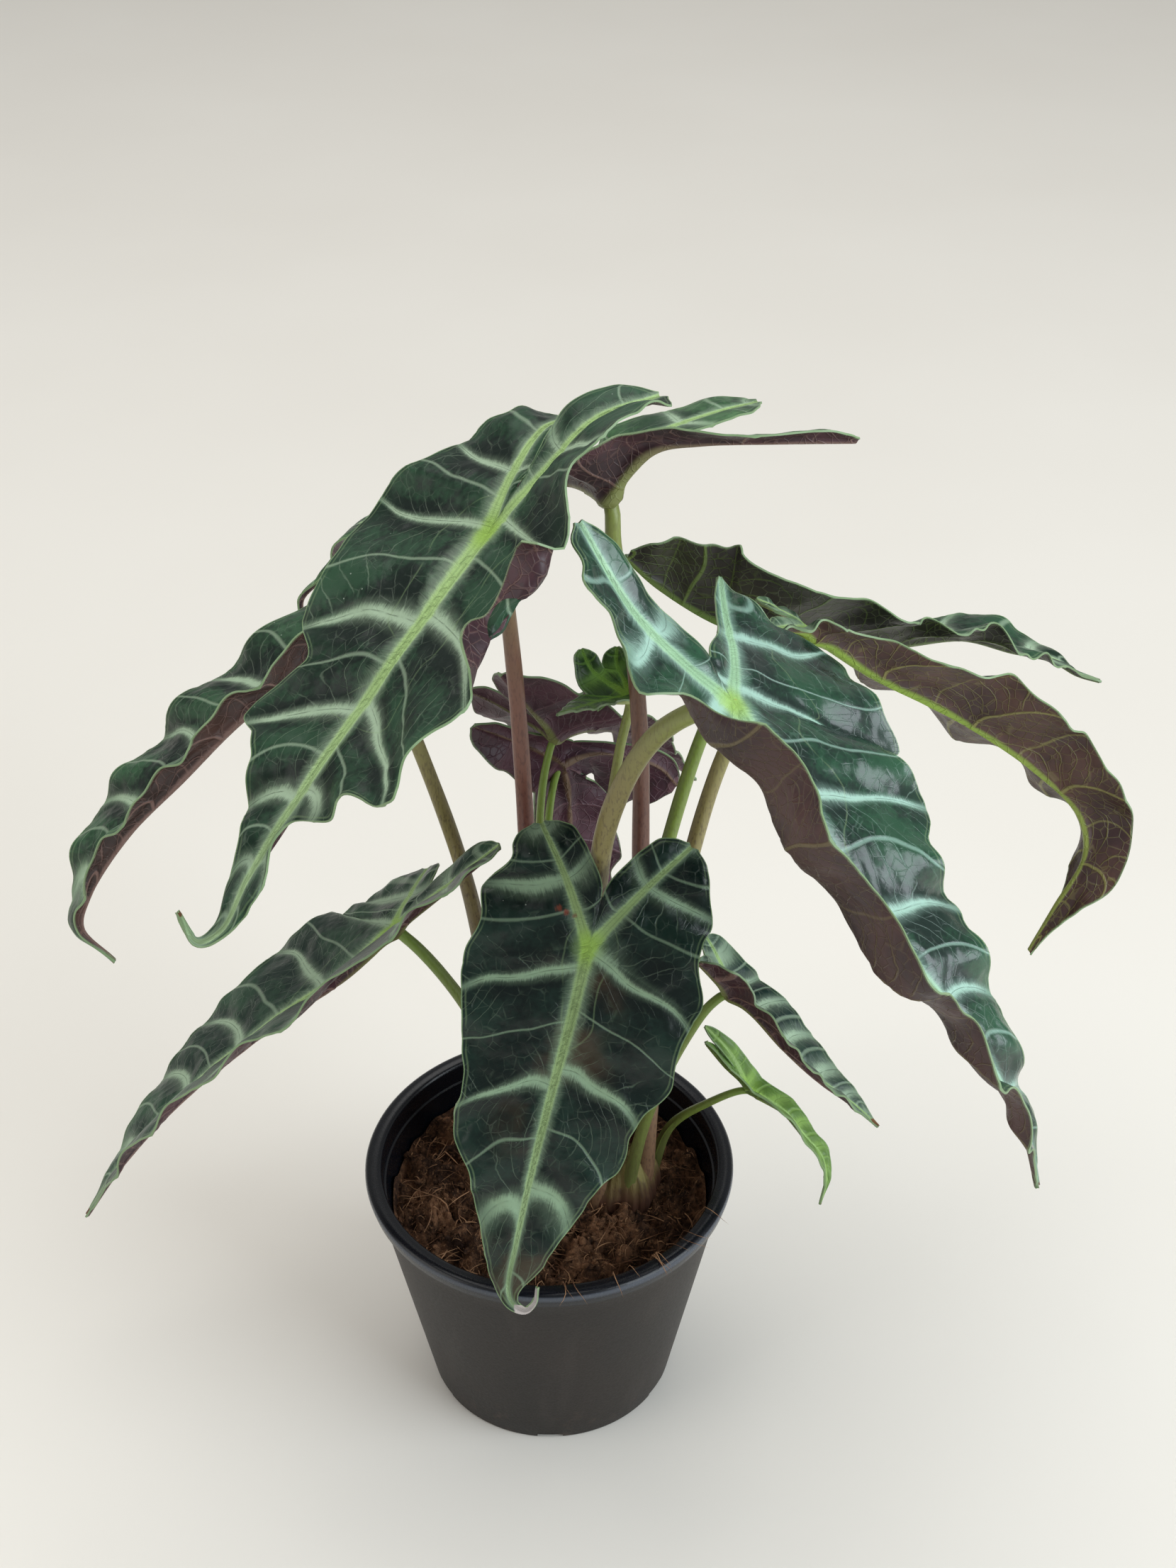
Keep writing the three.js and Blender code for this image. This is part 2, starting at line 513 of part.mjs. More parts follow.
function potGeometry() {
  const top = rimRadius - rimBand;
  const collarZ = potHeight - collarDrop;
  const profile = [
    [0, 0], [centrePadRadius, 0], [centrePadRadius + 2, baseRaise],
    [baseRadius - footRingWidth - 1, baseRaise],
    [baseRadius - footRingWidth, 0], [baseRadius - 1, 0], [baseRadius, 1.2],
    [rimRadius - 4.2, collarZ - 0.6], [rimRadius - 1.4, collarZ], [rimRadius - 0.2, potHeight - 4],
    [rimRadius - 0.6, potHeight - 1.6], [rimRadius - 2.2, potHeight - 0.2], [rimRadius - 4, potHeight],
    [top + 1.2, potHeight - 0.3], [top, potHeight - 2], [top - 0.6, collarZ - 2],
    [innerRadius(baseRaise + wall), baseRaise + wall], [0, baseRaise + wall],
  ].map(([r, z]) => new THREE.Vector2(r, z));
  const body = new THREE.LatheGeometry(profile, potSides).rotateX(Math.PI / 2);
  let pot = solid(body);
  for (let i = 0; i < drainHoles; i += 1) {
    const turn = (2 * Math.PI * (i + 0.5)) / drainHoles;
    const hole = new THREE.CylinderGeometry(drainHoleRadius, drainHoleRadius, 20, 10).rotateX(Math.PI / 2)
      .translate(drainHoleCircle * Math.cos(turn), drainHoleCircle * Math.sin(turn), 0);
    pot = pot.subtract(solid(hole));
    const notch = new THREE.BoxGeometry(30, footNotchWidth, 2 * footNotchHeight)
      .translate(baseRadius, 0, 0).rotateZ(turn);
    pot = pot.subtract(solid(notch));
  }
  return geometryOf(pot);
}

// The soil's surface, lumpy, lower at the wall and heaped round the crowns
function soilHeight(x, y) {
  const r = Math.hypot(x, y);
  const lumps = Math.sin(x * 0.16 + 1.3) * Math.cos(y * 0.19 - 0.4) + 0.6 * Math.sin(x * 0.31 - y * 0.27)
    + 0.5 * Math.cos(y * 0.43 + x * 0.12);
  const heap = 4 * Math.exp(-(((r - 10) / 34) ** 2));
  return soilLevel + soilLumpHeight * 0.5 * lumps + heap - 3 * (r / 76) ** 6;
}

function soilSolid() {
  const bottom = baseRaise + wall + seatGap;
  const outer = (z) => innerRadius(z) - seatGap - 0.4;
  const points = [new THREE.Vector3(0, 0, soilHeight(0, 0))];
  for (let ring = 1; ring <= soilRings; ring += 1) {
    const radius = outer(soilLevel - 6) * (ring / soilRings) ** 0.9;
    for (let k = 0; k < soilSides; k += 1) {
      const angle = (2 * Math.PI * k) / soilSides;
      const [x, y] = [radius * Math.cos(angle), radius * Math.sin(angle)];
      points.push(new THREE.Vector3(x, y, soilHeight(x, y)));
    }
  }
  for (let k = 0; k < soilSides; k += 1) {
    const angle = (2 * Math.PI * k) / soilSides;
    points.push(new THREE.Vector3(outer(bottom) * Math.cos(angle), outer(bottom) * Math.sin(angle), bottom));
  }
  points.push(new THREE.Vector3(0, 0, bottom));
  const faces = [];
  const last = points.length - 1;
  for (let k = 0; k < soilSides; k += 1) {
    const next = (k + 1) % soilSides;
    faces.push([0, 1 + k, 1 + next]);
    for (let ring = 0; ring < soilRings; ring += 1) {
      const a = 1 + ring * soilSides + k;
      const b = 1 + ring * soilSides + next;
      faces.push([a, a + soilSides, b + soilSides], [a, b + soilSides, b]);
    }
    faces.push([last, 1 + soilRings * soilSides + next, 1 + soilRings * soilSides + k]);
  }
  return solid(meshGeometry(points, faces));
}

// A crown: a short stem wrapped in the sheaths of its petioles, set in the soil
const crowns = {
  crown_left: { centre: [-7, 5], radius: 19, top: 134 },
  crown_right: { centre: [33, 3], radius: 18, top: 132 },
};
const crownDepth = 92;

function crownSolid({ centre, radius, top }, grow) {
  const profile = [
    [0, crownDepth - grow], [radius * 0.62 + grow, crownDepth - grow], [radius * 0.86 + grow, crownDepth + 4],
    [radius + grow, soilLevel], [radius * 0.94 + grow, soilLevel + 10], [radius * 0.8 + grow, top - 8],
    [radius * 0.62 + grow, top + grow], [0, top + grow],
  ].map(([r, z]) => new THREE.Vector2(r, z));
  const body = new THREE.LatheGeometry(profile, 14).rotateX(Math.PI / 2).translate(centre[0], centre[1], 0);
  return solid(body);
}

const plant = new THREE.Group();

function add(name, geometry, colour, roughness) {
  const material = new THREE.MeshStandardMaterial({ color: colour, roughness, metalness: 0 });
  const mesh = new THREE.Mesh(geometry, material);
  mesh.name = name;
  plant.add(mesh);
}

add('pot', potGeometry(), new THREE.Color(0.03, 0.028, 0.026), 0.45);

const crownBodies = {};
let soil = soilSolid();
for (const [name, crown] of Object.entries(crowns)) {
  crownBodies[name] = crownSolid(crown, 0);
  soil = soil.subtract(crownSolid(crown, seatGap));
}

for (const leaf of leaves) {
  const sheet = bladeSheet(leaf);
  add(`${leaf.name}_blade`, thicken(sheet, bladeThickness), greenTop, 0.3);
  const spread = Math.ceil(leaf.petiole.at(-1)[2] / 45);
  const segments = Math.max(6, Math.min(spread, 9));
  const clearance = solid(thicken(sheet, bladeThickness + 2 * seatGap));
  const petiole = largest(solid(stem(leaf.petiole, leaf.radius, segments, 0, 2)).subtract(clearance));
  add(`${leaf.name}_petiole`, geometryOf(petiole), leaf.colour, 0.5);
  const hole = solid(stem(leaf.petiole, leaf.radius, segments, seatGap));
  crownBodies[leaf.crown] = crownBodies[leaf.crown].subtract(hole);
  soil = soil.subtract(hole);
}

for (const [name, body] of Object.entries(crownBodies)) {
  add(name, geometryOf(largest(body)), petioleOlive, 0.6);
}
add('soil', geometryOf(largest(soil)), new THREE.Color(0.09, 0.045, 0.025), 0.95);

export default plant;
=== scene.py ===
# Alocasia in a nursery pot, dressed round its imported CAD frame
import math

import bpy
import numpy as np
from mathutils import Euler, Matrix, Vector, noise


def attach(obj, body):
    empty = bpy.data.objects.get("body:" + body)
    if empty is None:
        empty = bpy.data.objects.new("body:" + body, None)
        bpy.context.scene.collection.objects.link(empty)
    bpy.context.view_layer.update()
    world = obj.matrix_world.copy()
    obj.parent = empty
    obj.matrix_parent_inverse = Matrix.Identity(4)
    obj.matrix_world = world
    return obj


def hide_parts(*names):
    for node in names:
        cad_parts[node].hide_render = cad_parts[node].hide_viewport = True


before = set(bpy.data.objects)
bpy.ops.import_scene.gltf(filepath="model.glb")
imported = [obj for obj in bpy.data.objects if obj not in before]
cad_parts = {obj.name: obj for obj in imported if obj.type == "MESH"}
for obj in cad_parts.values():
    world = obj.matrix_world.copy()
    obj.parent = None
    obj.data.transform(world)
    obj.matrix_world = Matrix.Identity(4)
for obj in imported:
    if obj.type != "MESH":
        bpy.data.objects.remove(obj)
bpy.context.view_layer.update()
scene = bpy.context.scene
chance = np.random.default_rng(11)


def tint(red, green, blue):
    # A colour given as 0 to 255 screen values, made linear
    parts = [part / 255 for part in (red, green, blue)]
    linear = [p / 12.92 if p <= 0.04045 else ((p + 0.055) / 1.055) ** 2.4 for p in parts]
    return (*linear, 1)


# Camera, where the photograph was taken from

view = dict(place=(0.0178, -0.746, 0.855), pitch=34.87, lens=51.3, sensor=36)


def setCamera():
    bpy.ops.object.camera_add(location=view["place"])
    camera = bpy.context.object
    camera.rotation_euler = Euler((math.radians(90 - view["pitch"]), 0, 0))
    camera.data.sensor_fit = "VERTICAL"
    camera.data.sensor_height = view["sensor"]
    camera.data.lens = view["lens"]
    camera.data.clip_end = 20
    scene.camera = camera


# Making and shaping meshes

def choose(*pieces):
    bpy.ops.object.select_all(action="DESELECT")
    for piece in pieces:
        piece.select_set(True)
    bpy.context.view_layer.objects.active = pieces[0]


def addGrid(name, columns, rows):
    bpy.ops.object.select_all(action="DESELECT")
    bpy.ops.mesh.primitive_grid_add(x_subdivisions=columns, y_subdivisions=rows, size=2)
    piece = bpy.context.object
    piece.name = name
    return piece


def readPlaces(piece):
    places = np.zeros(len(piece.data.vertices) * 3)
    piece.data.vertices.foreach_get("co", places)
    return places.reshape(-1, 3)


def writePlaces(piece, places):
    piece.data.vertices.foreach_set("co", np.asarray(places, float).ravel())
    piece.data.update()


def readNormals(piece):
    normals = np.zeros(len(piece.data.vertices) * 3)
    piece.data.vertex_normals.foreach_get("vector", normals)
    return normals.reshape(-1, 3)


def writeField(piece, name, values):
    field = piece.data.attributes.get(name) or piece.data.attributes.new(name, "FLOAT", "POINT")
    field.data.foreach_set("value", np.asarray(values, float).ravel())


def readField(piece, name):
    values = np.zeros(len(piece.data.vertices))
    piece.data.attributes[name].data.foreach_get("value", values)
    return values


def gridShares(piece, columns, rows):
    # Each vertex's share of the way across and along its grid
    flat = readPlaces(piece)
    across = np.rint((flat[:, 0] + 1) / 2 * columns) / columns
    along = np.rint((flat[:, 1] + 1) / 2 * rows) / rows
    return across, along


def join(pieces, name):
    choose(*pieces)
    if len(pieces) > 1:
        bpy.ops.object.join()
    piece = bpy.context.object
    piece.name = name
    return piece


def openAll(piece):
    # Into edit mode, with the whole piece selected
    choose(piece)
    bpy.ops.object.mode_set(mode="EDIT")
    bpy.ops.mesh.select_all(action="SELECT")


def mergeDoubles(piece):
    openAll(piece)
    bpy.ops.mesh.remove_doubles(threshold=0.000005)
    bpy.ops.object.mode_set(mode="OBJECT")


def faceOutwards(piece):
    openAll(piece)
    bpy.ops.mesh.normals_make_consistent(inside=False)
    bpy.ops.object.mode_set(mode="OBJECT")


def fillEnds(piece):
    openAll(piece)
    bpy.ops.mesh.fill_holes(sides=0)
    bpy.ops.object.mode_set(mode="OBJECT")
    faceOutwards(piece)


def finishWith(piece, kind, **settings):
    choose(piece)
    modifier = piece.modifiers.new(kind.title(), kind)
    for name, value in settings.items():
        setattr(modifier, name, value)
    bpy.ops.object.modifier_apply(modifier=modifier.name)


def shadeSmooth(piece, angle=None):
    choose(piece)
    if angle is None:
        bpy.ops.object.shade_smooth()
    else:
        bpy.ops.object.shade_smooth_by_angle(angle=math.radians(angle))


def addSlots(piece, materials):
    for material in materials:
        piece.data.materials.append(material)


def dress(piece, slot, *nodes):
    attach(piece, "root")
    if nodes:
        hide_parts(*nodes)


def smooth(value, start, end):
    share = np.clip((value - start) / (end - start), 0, 1)
    return share * share * (3 - 2 * share)


# Materials

class Field:
    # A number that changes over a surface, so that sums of them read as sums
    def __init__(self, look, socket):
        self.look = look
        self.socket = socket

    def __add__(self, other):
        return self.look.sum("ADD", self, other)

    def __radd__(self, other):
        return self.look.sum("ADD", other, self)

    def __sub__(self, other):
        return self.look.sum("SUBTRACT", self, other)

    def __rsub__(self, other):
        return self.look.sum("SUBTRACT", other, self)

    def __mul__(self, other):
        return self.look.sum("MULTIPLY", self, other)

    def __rmul__(self, other):
        return self.look.sum("MULTIPLY", other, self)

    def __truediv__(self, other):
        return self.look.sum("DIVIDE", self, other)

    def __rtruediv__(self, other):
        return self.look.sum("DIVIDE", other, self)

    def __pow__(self, other):
        return self.look.sum("POWER", self, other)


class Look:
    # A material and the nodes in it
    def __init__(self, name):
        self.material = bpy.data.materials.new(name)
        self.material.use_nodes = True
        self.nodes = self.material.node_tree.nodes
        self.links = self.material.node_tree.links
        self.shader = next(node for node in self.nodes if node.type == "BSDF_PRINCIPLED")
        self.output = next(node for node in self.nodes if node.type == "OUTPUT_MATERIAL")

    def add(self, kind, settings, sockets, out=0):
        node = self.nodes.new("ShaderNode" + kind)
        for name, value in settings.items():
            setattr(node, name, value)
        for name, value in sockets.items():
            self.feed(node.inputs[name], value)
        return Field(self, node.outputs[out])

    def feed(self, socket, value):
        if isinstance(value, Field):
            self.links.new(value.socket, socket)
        else:
            socket.default_value = value

    def sum(self, operation, first, second):
        return self.add("Math", dict(operation=operation), {0: first, 1: second})

    def ease(self, value, start, end, low=0.0, high=1.0):
        return self.add("MapRange", dict(interpolation_type="SMOOTHSTEP"),
                        {"Value": value, "From Min": start, "From Max": end, "To Min": low, "To Max": high})

    def size(self, value):
        return self.add("Math", dict(operation="ABSOLUTE"), {0: value})

    def most(self, first, second):
        return self.sum("MAXIMUM", first, second)

    def fromWhole(self, value):
        # How far a number is from the nearest whole one
        share = self.add("Math", dict(operation="FRACT"), {0: value + 0.5})
        return self.size(share - 0.5)

    def field(self, name):
        return self.add("Attribute", dict(attribute_name=name), {}, out="Fac")

    def place(self):
        return self.add("TexCoord", {}, {}, out="Object")

    def part(self, vector, axis):
        return self.add("SeparateXYZ", {}, {0: vector}, out=axis)

    def stretch(self, vector, scale):
        return self.add("VectorMath", dict(operation="MULTIPLY"), {0: vector, 1: scale})

    def noise(self, scale, detail=3.0, rough=0.5, vector=None, warp=0.0):
        return self.add("TexNoise", {}, {"Vector": vector or self.place(), "Scale": scale, "Detail": detail,
                                         "Roughness": rough, "Distortion": warp}, out=0)

    def upright(self, scale, detail, squeeze):
        # Noise drawn out along the upright axis
        return self.noise(scale, detail, vector=self.stretch(self.place(), (1.0, 1.0, squeeze)))

    def cells(self, scale, feature="F1"):
        return self.add("TexVoronoi", dict(feature=feature), {"Vector": self.place(), "Scale": scale},
                        out="Distance")

    def mix(self, share, first, second):
        return self.add("Mix", dict(data_type="RGBA"), {0: share, 6: first, 7: second}, out=2)

    def cover(self, colour, *layers):
        # Each layer's share of its colour lies over those before it
        for share, layer in layers:
            colour = self.mix(share, colour, layer)
        return colour

    def bump(self, height, distance, strength):
        return self.add("Bump", {}, {"Height": height, "Distance": distance, "Strength": strength})

    def finish(self, **sockets):
        # Socket names are given in one word, as baseColor for Base Color
        for name, value in sockets.items():
            spaced = "".join(" " + letter if letter.isupper() else letter for letter in name)
            self.feed(self.shader.inputs[spaced.title().replace("Ior", "IOR")], value)
        return self.material


# Leaves: the same sheets as in the CAD source, in millimetres, on finer grids

leafShape = dict(
    stations=[-1, -0.5, 0, 0.33, 0.67, 1],
    lean=[[-1, -30], [-0.5, -18], [-0.08, -10], [0.08, 22], [0.33, 28], [0.67, 36], [1, 48]],
    outer=[[-1, 0.07], [-0.93, 0.33], [-0.8, 0.56], [-0.5, 0.8], [-0.2, 0.95], [0, 1], [0.15, 1],
           [0.35, 0.9], [0.55, 0.7], [0.75, 0.42], [0.88, 0.18], [0.95, 0.07], [1, 0.03]],
    inner=[[0, 0], [0.15, 0.4], [0.35, 0.75], [0.6, 1], [0.8, 0.9], [0.93, 0.5], [1, 0.1]],
    midribVeins=5, ribVeins=2, corner=0.2, scallop=0.05, sinusLean=20, leftPhase=0.12, uneven=0.025,
    waveReach=25,
    unevenWaves=[(0.5, 31, 1), (0.3, 53, 2), (0.2, 97, 0)],  # share, pitch and turns of the seed
    midribSteps=160, ribSteps=80, curlSteps=24, grid=(150, 54, 30, 12),
)


def ribCurve(points):
    # A smooth curve through the points: its place and direction at shares of its length
    knots = np.array(points, float)
    padded = np.vstack([2 * knots[0] - knots[1], knots, 2 * knots[-1] - knots[-2]])
    spans = len(knots) - 1

    def placeAt(share):
        at = np.clip(share, 0, 1) * spans
        i = np.clip(np.floor(at).astype(int), 0, spans - 1)
        w = (at - i)[:, None]
        a, b, c, d = (padded[i + k] for k in range(4))
        pairs = ((a, b), (b, c), (c, d))
        gapA, gapB, gapC = (np.sum((q - p) ** 2, axis=1)[:, None] ** 0.25 for p, q in pairs)
        start = ((b - a) / gapA - (c - a) / (gapA + gapB) + (c - b) / gapB) * gapB
        end = ((c - b) / gapB - (d - b) / (gapB + gapC) + (d - c) / gapC) * gapB
        return b + start * w + (3 * (c - b) - 2 * start - end) * w ** 2 + (2 * (b - c) + start + end) * w ** 3

    steps = np.linspace(0, 1, 201)
    walked = np.concatenate([[0], np.cumsum(np.linalg.norm(np.diff(placeAt(steps), axis=0), axis=1))])

    def along(share):
        t = np.interp(share, walked / walked[-1], steps)
        ahead = placeAt(t + 1e-4) - placeAt(t - 1e-4)
        return placeAt(t), ahead / np.linalg.norm(ahead, axis=1)[:, None]

    return along, walked[-1]


def carryAlong(points, face, count, roll=0):
    # The face's normal carried along a rib with as little turning as its bends allow
    along, length = ribCurve(points)
    place, ahead = along(np.linspace(0, 1, count + 1))
    normal = np.array(face, float)
    normals = []
    for direction in ahead:
        normal = normal - normal.dot(direction) * direction
        normal = normal / np.linalg.norm(normal)
        normals.append(normal)
    normals = np.array(normals)
    angle = np.radians(roll) * smooth(np.linspace(0, 1, count + 1), 0, 0.4)[:, None]
    normals = normals * np.cos(angle) + np.cross(ahead, normals) * np.sin(angle)
    return dict(place=place, ahead=ahead, normal=normals, length=length)


def onRib(rib, share):
    at = np.clip(share, 0, 1) * (len(rib["place"]) - 1)
    i = np.minimum(np.floor(at).astype(int), len(rib["place"]) - 2)
    w = (at - i)[:, None]
    keys = ("place", "ahead", "normal")
    place, ahead, normal = (rib[key][i] * (1 - w) + rib[key][i + 1] * w for key in keys)
    return place, unit(ahead), unit(normal)


def unit(vectors):
    return vectors / np.linalg.norm(vectors, axis=1)[:, None]


def readOff(pairs, at):
    # A value off a list of pairs, its corners rounded a little
    places, values = zip(*pairs)
    return sum(np.interp(at + step, places, values) for step in (-0.03, -0.015, 0, 0.015, 0.03)) / 5


def atStation(values, at):
    stations = leafShape["stations"]
    i = np.clip(np.searchsorted(stations, at, side="right") - 1, 0, len(stations) - 2)
    values, stations = np.array(values, float), np.array(stations, float)
    return values[i] + (values[i + 1] - values[i]) * smooth(at, stations[i], stations[i + 1])


def rawRows(leaf, side, sign, at):
    back = (at < 0)[:, None]
    ribPlace, ribAhead, ribNormal = onRib(side["carried"], np.abs(at))
    midPlace, midAhead, midNormal = onRib(leaf["carried"], np.abs(at))
    place = np.where(back, ribPlace, midPlace)
    forward = np.where(back, -ribAhead, midAhead)
    normal = np.where(back, ribNormal, midNormal)
    out = np.cross(forward, normal) * sign
    tilt = np.radians(atStation(side["tilt"], at))[:, None]
    lean = np.radians(readOff(leafShape["lean"], at))[:, None]
    raised = out * np.cos(tilt) + normal * np.sin(tilt)
    up = normal * np.cos(tilt) - out * np.sin(tilt)
    return place, raised * np.cos(lean) + forward * np.sin(lean), up, lean


def rowsAt(leaf, side, sign, at):
    place, run, up, lean = rawRows(leaf, side, sign, at)
    corner = leafShape["corner"]
    near = (np.abs(at) < corner)[:, None]
    _, runBefore, upBefore, _ = rawRows(leaf, side, sign, np.full(1, -corner))
    _, runAfter, upAfter, _ = rawRows(leaf, side, sign, np.full(1, corner))
    share = smooth(at, -corner, corner)[:, None]
    runNear = unit(runBefore + (runAfter - runBefore) * share)
    upNear = upBefore + (upAfter - upBefore) * share
    upNear = unit(upNear - np.sum(upNear * runNear, axis=1)[:, None] * runNear)
    return place, np.where(near, runNear, run), np.where(near, upNear, up), lean


def veinPhase(at):
    return np.where(at >= 0, at * leafShape["midribVeins"], at * leafShape["ribVeins"])


def calmAtHome(at):
    # Waves are small beside the insertion
    return 1 - 0.85 * np.exp(-((at / 0.2) ** 2))


def paceAt(side, at):
    # A lobe is shorter than the midrib, so its waves are spread by its own length
    return np.where(at < 0, side["pace"], 1)


def foldAt(at, middle, half):
    return 1 - smooth(np.abs(at - middle), 0.35 * half, half)


def reachAt(side, at, lean):
    phase = veinPhase(at) + side["phase"]
    nearTip = 1 - smooth(np.abs(at), 0.75, 1)
    scallop = 1 + leafShape["scallop"] * nearTip * np.cos(2 * np.pi * phase)
    walked = at * paceAt(side, at)
    uneven = sum(share * np.sin(pitch * walked + turns * side["seed"])
                 for share, pitch, turns in leafShape["unevenWaves"])
    uneven = uneven * calmAtHome(at) * np.where(at < 0, 0.5, 1)
    reach = atStation(side["width"], at) * readOff(leafShape["outer"], at) * scallop / np.cos(lean)
    for middle, half, _, _, more in side.get("folds", ()):
        reach = reach + more * foldAt(at, middle, half)
    for middle, half, more in side.get("swells", ()):
        reach = reach + more * np.exp(-(((at - middle) / half) ** 2))
    return reach * (1 + leafShape["uneven"] * nearTip * uneven), phase, nearTip


def outerPlaces(leaf, side, sign, at, t):
    place, run, up, lean = rowsAt(leaf, side, sign, at)
    reach, phase, nearTip = reachAt(side, at, lean[:, 0])
    curl = np.radians(atStation(side["curl"], at))

    def turnedAt(share):
        turned = curl * share
        for middle, half, start, degrees, _ in side.get("folds", ()):
            folded = smooth(share, start, min(start + 0.12, 1))
            turned = turned + math.radians(degrees) * foldAt(at, middle, half) * folded
        return turned

    # the sheet's way out is summed over small turns
    steps = leafShape["curlSteps"]
    outward, upward = np.zeros(len(t)), np.zeros(len(t))
    for k in range(steps):
        turned = turnedAt(t * (k + 0.5) / steps)
        outward += np.cos(turned) / steps
        upward += np.sin(turned) / steps
    turned = turnedAt(t)[:, None]
    small = (0.35 * np.sin(4 * np.pi * phase + 2 * side["seed"])
             + 0.2 * np.sin(61 * at * paceAt(side, at) + side["seed"]))
    small = small * calmAtHome(at)
    wave = side.get("wave", leaf["wave"]) * np.clip(reach / leafShape["waveReach"], 0, 1)
    ripple = (-wave * nearTip * t * t * (np.cos(2 * np.pi * phase) + small * t))[:, None]
    lift = up * np.cos(turned) - run * np.sin(turned)
    away = run * outward[:, None] + up * upward[:, None]
    return place + away * (reach * t)[:, None] + lift * ripple, reach


def sinusMargin(leaf, side, sign, along):
    place, ahead, normal = onRib(side["carried"], along)
    lean = math.radians(leafShape["sinusLean"])
    run = np.cross(ahead, normal) * sign * math.cos(lean) + ahead * math.sin(lean)
    reach = side.get("inner", leaf["inner"]) * readOff(leafShape["inner"], along) * (along > 0)
    return place + run * reach[:, None]


def innerPlaces(leaf, side, sign, along, t):
    margins = [sinusMargin(leaf, leaf[name], turn, along) for name, turn in (("right", 1), ("left", -1))]
    middle = (margins[0] + margins[1]) / 2
    own = sinusMargin(leaf, side, sign, along)
    apart = smooth(along, leaf["join"], leaf["join"] + 0.35)[:, None]
    margin = middle + (own - middle) * apart
    margin = np.where((along == 0)[:, None], leaf["carried"]["place"][:1], margin)
    rib = onRib(side["carried"], along)[0]
    return rib + (margin - rib) * t[:, None], np.linalg.norm(margin - rib, axis=1), apart[:, 0]


def leafSheet(leaf, fine):
    # Four grids, an outer and a sinus one on each side, joined into one sheet
    frontRows, backRows, columns, inward = (max(8, round(count * fine)) for count in leafShape["grid"])
    leaf["carried"] = carryAlong(leaf["midrib"], leaf["face"], leafShape["midribSteps"])
    pieces = []
    for name, phase in (("right", 0), ("left", leafShape["leftPhase"])):
        side = leaf[name]
        side.setdefault("curl", [0] * len(leafShape["stations"]))
        side["carried"] = carryAlong(side["rib"], leaf["face"], leafShape["ribSteps"], side.get("roll", 0))
        side["pace"] = side["carried"]["length"] / leaf["carried"]["length"]
        side["phase"] = phase
        side["seed"] = float(leaf["name"][-2:]) + 10 * phase
    for name, sign in (("right", 1), ("left", -1)):
        side = leaf[name]
        outer = addGrid("outerHalf", columns, frontRows + backRows)
        t, v = gridShares(outer, columns, frontRows + backRows)
        t = t if sign > 0 else 1 - t
        row = np.rint(v * (frontRows + backRows)) - backRows
        at = np.where(row < 0, row / backRows, row / frontRows)
        places, reach = outerPlaces(leaf, side, sign, at, t)
        nudge = 0.01
        ahead, _ = outerPlaces(leaf, side, sign, at + nudge, t)
        behind, _ = outerPlaces(leaf, side, sign, at - nudge, t)
        step = np.linalg.norm(ahead - behind, axis=1) / (veinPhase(at + nudge) - veinPhase(at - nudge))
        step = step * np.cos(np.radians(readOff(leafShape["lean"], at)))
        writeHalf(outer, places, leaf, at, t, reach, side, step, (1 - t) * reach)
        pieces.append(outer)
        sinus = addGrid("sinusHalf", inward, backRows)
        t, along = gridShares(sinus, inward, backRows)
        t = t if sign > 0 else 1 - t
        places, reach, apart = innerPlaces(leaf, side, sign, along, t)
        step = np.full(len(t), side["carried"]["length"] / leafShape["ribVeins"])
        edge = (1 - t) * reach + 30 * (1 - smooth(apart, 0, 0.03))
        writeHalf(sinus, places, leaf, -along, t, reach, side, step, edge)
        pieces.append(sinus)
    sheet = join(pieces, "leafBlade" + leaf["name"][-2:])
    mergeDoubles(sheet)
    return sheet


def bumpyAt(places, size, seed):
    # Soft lumps of that size in millimetres, from -1 to 1
    offset = Vector((seed * 3.7, seed * 1.9, -seed))
    return np.array([noise.noise(Vector(place) / size + offset) for place in places])


relief = dict(
    base=0.4, pillow=1.25, pucker=0.75, comb=0.06, groove=0.6, channel=0.35,  # above the sheet
    wall=0.8, ridge=0.75, veinRidge=0.8, boss=2.2, levels=200,  # below it
)


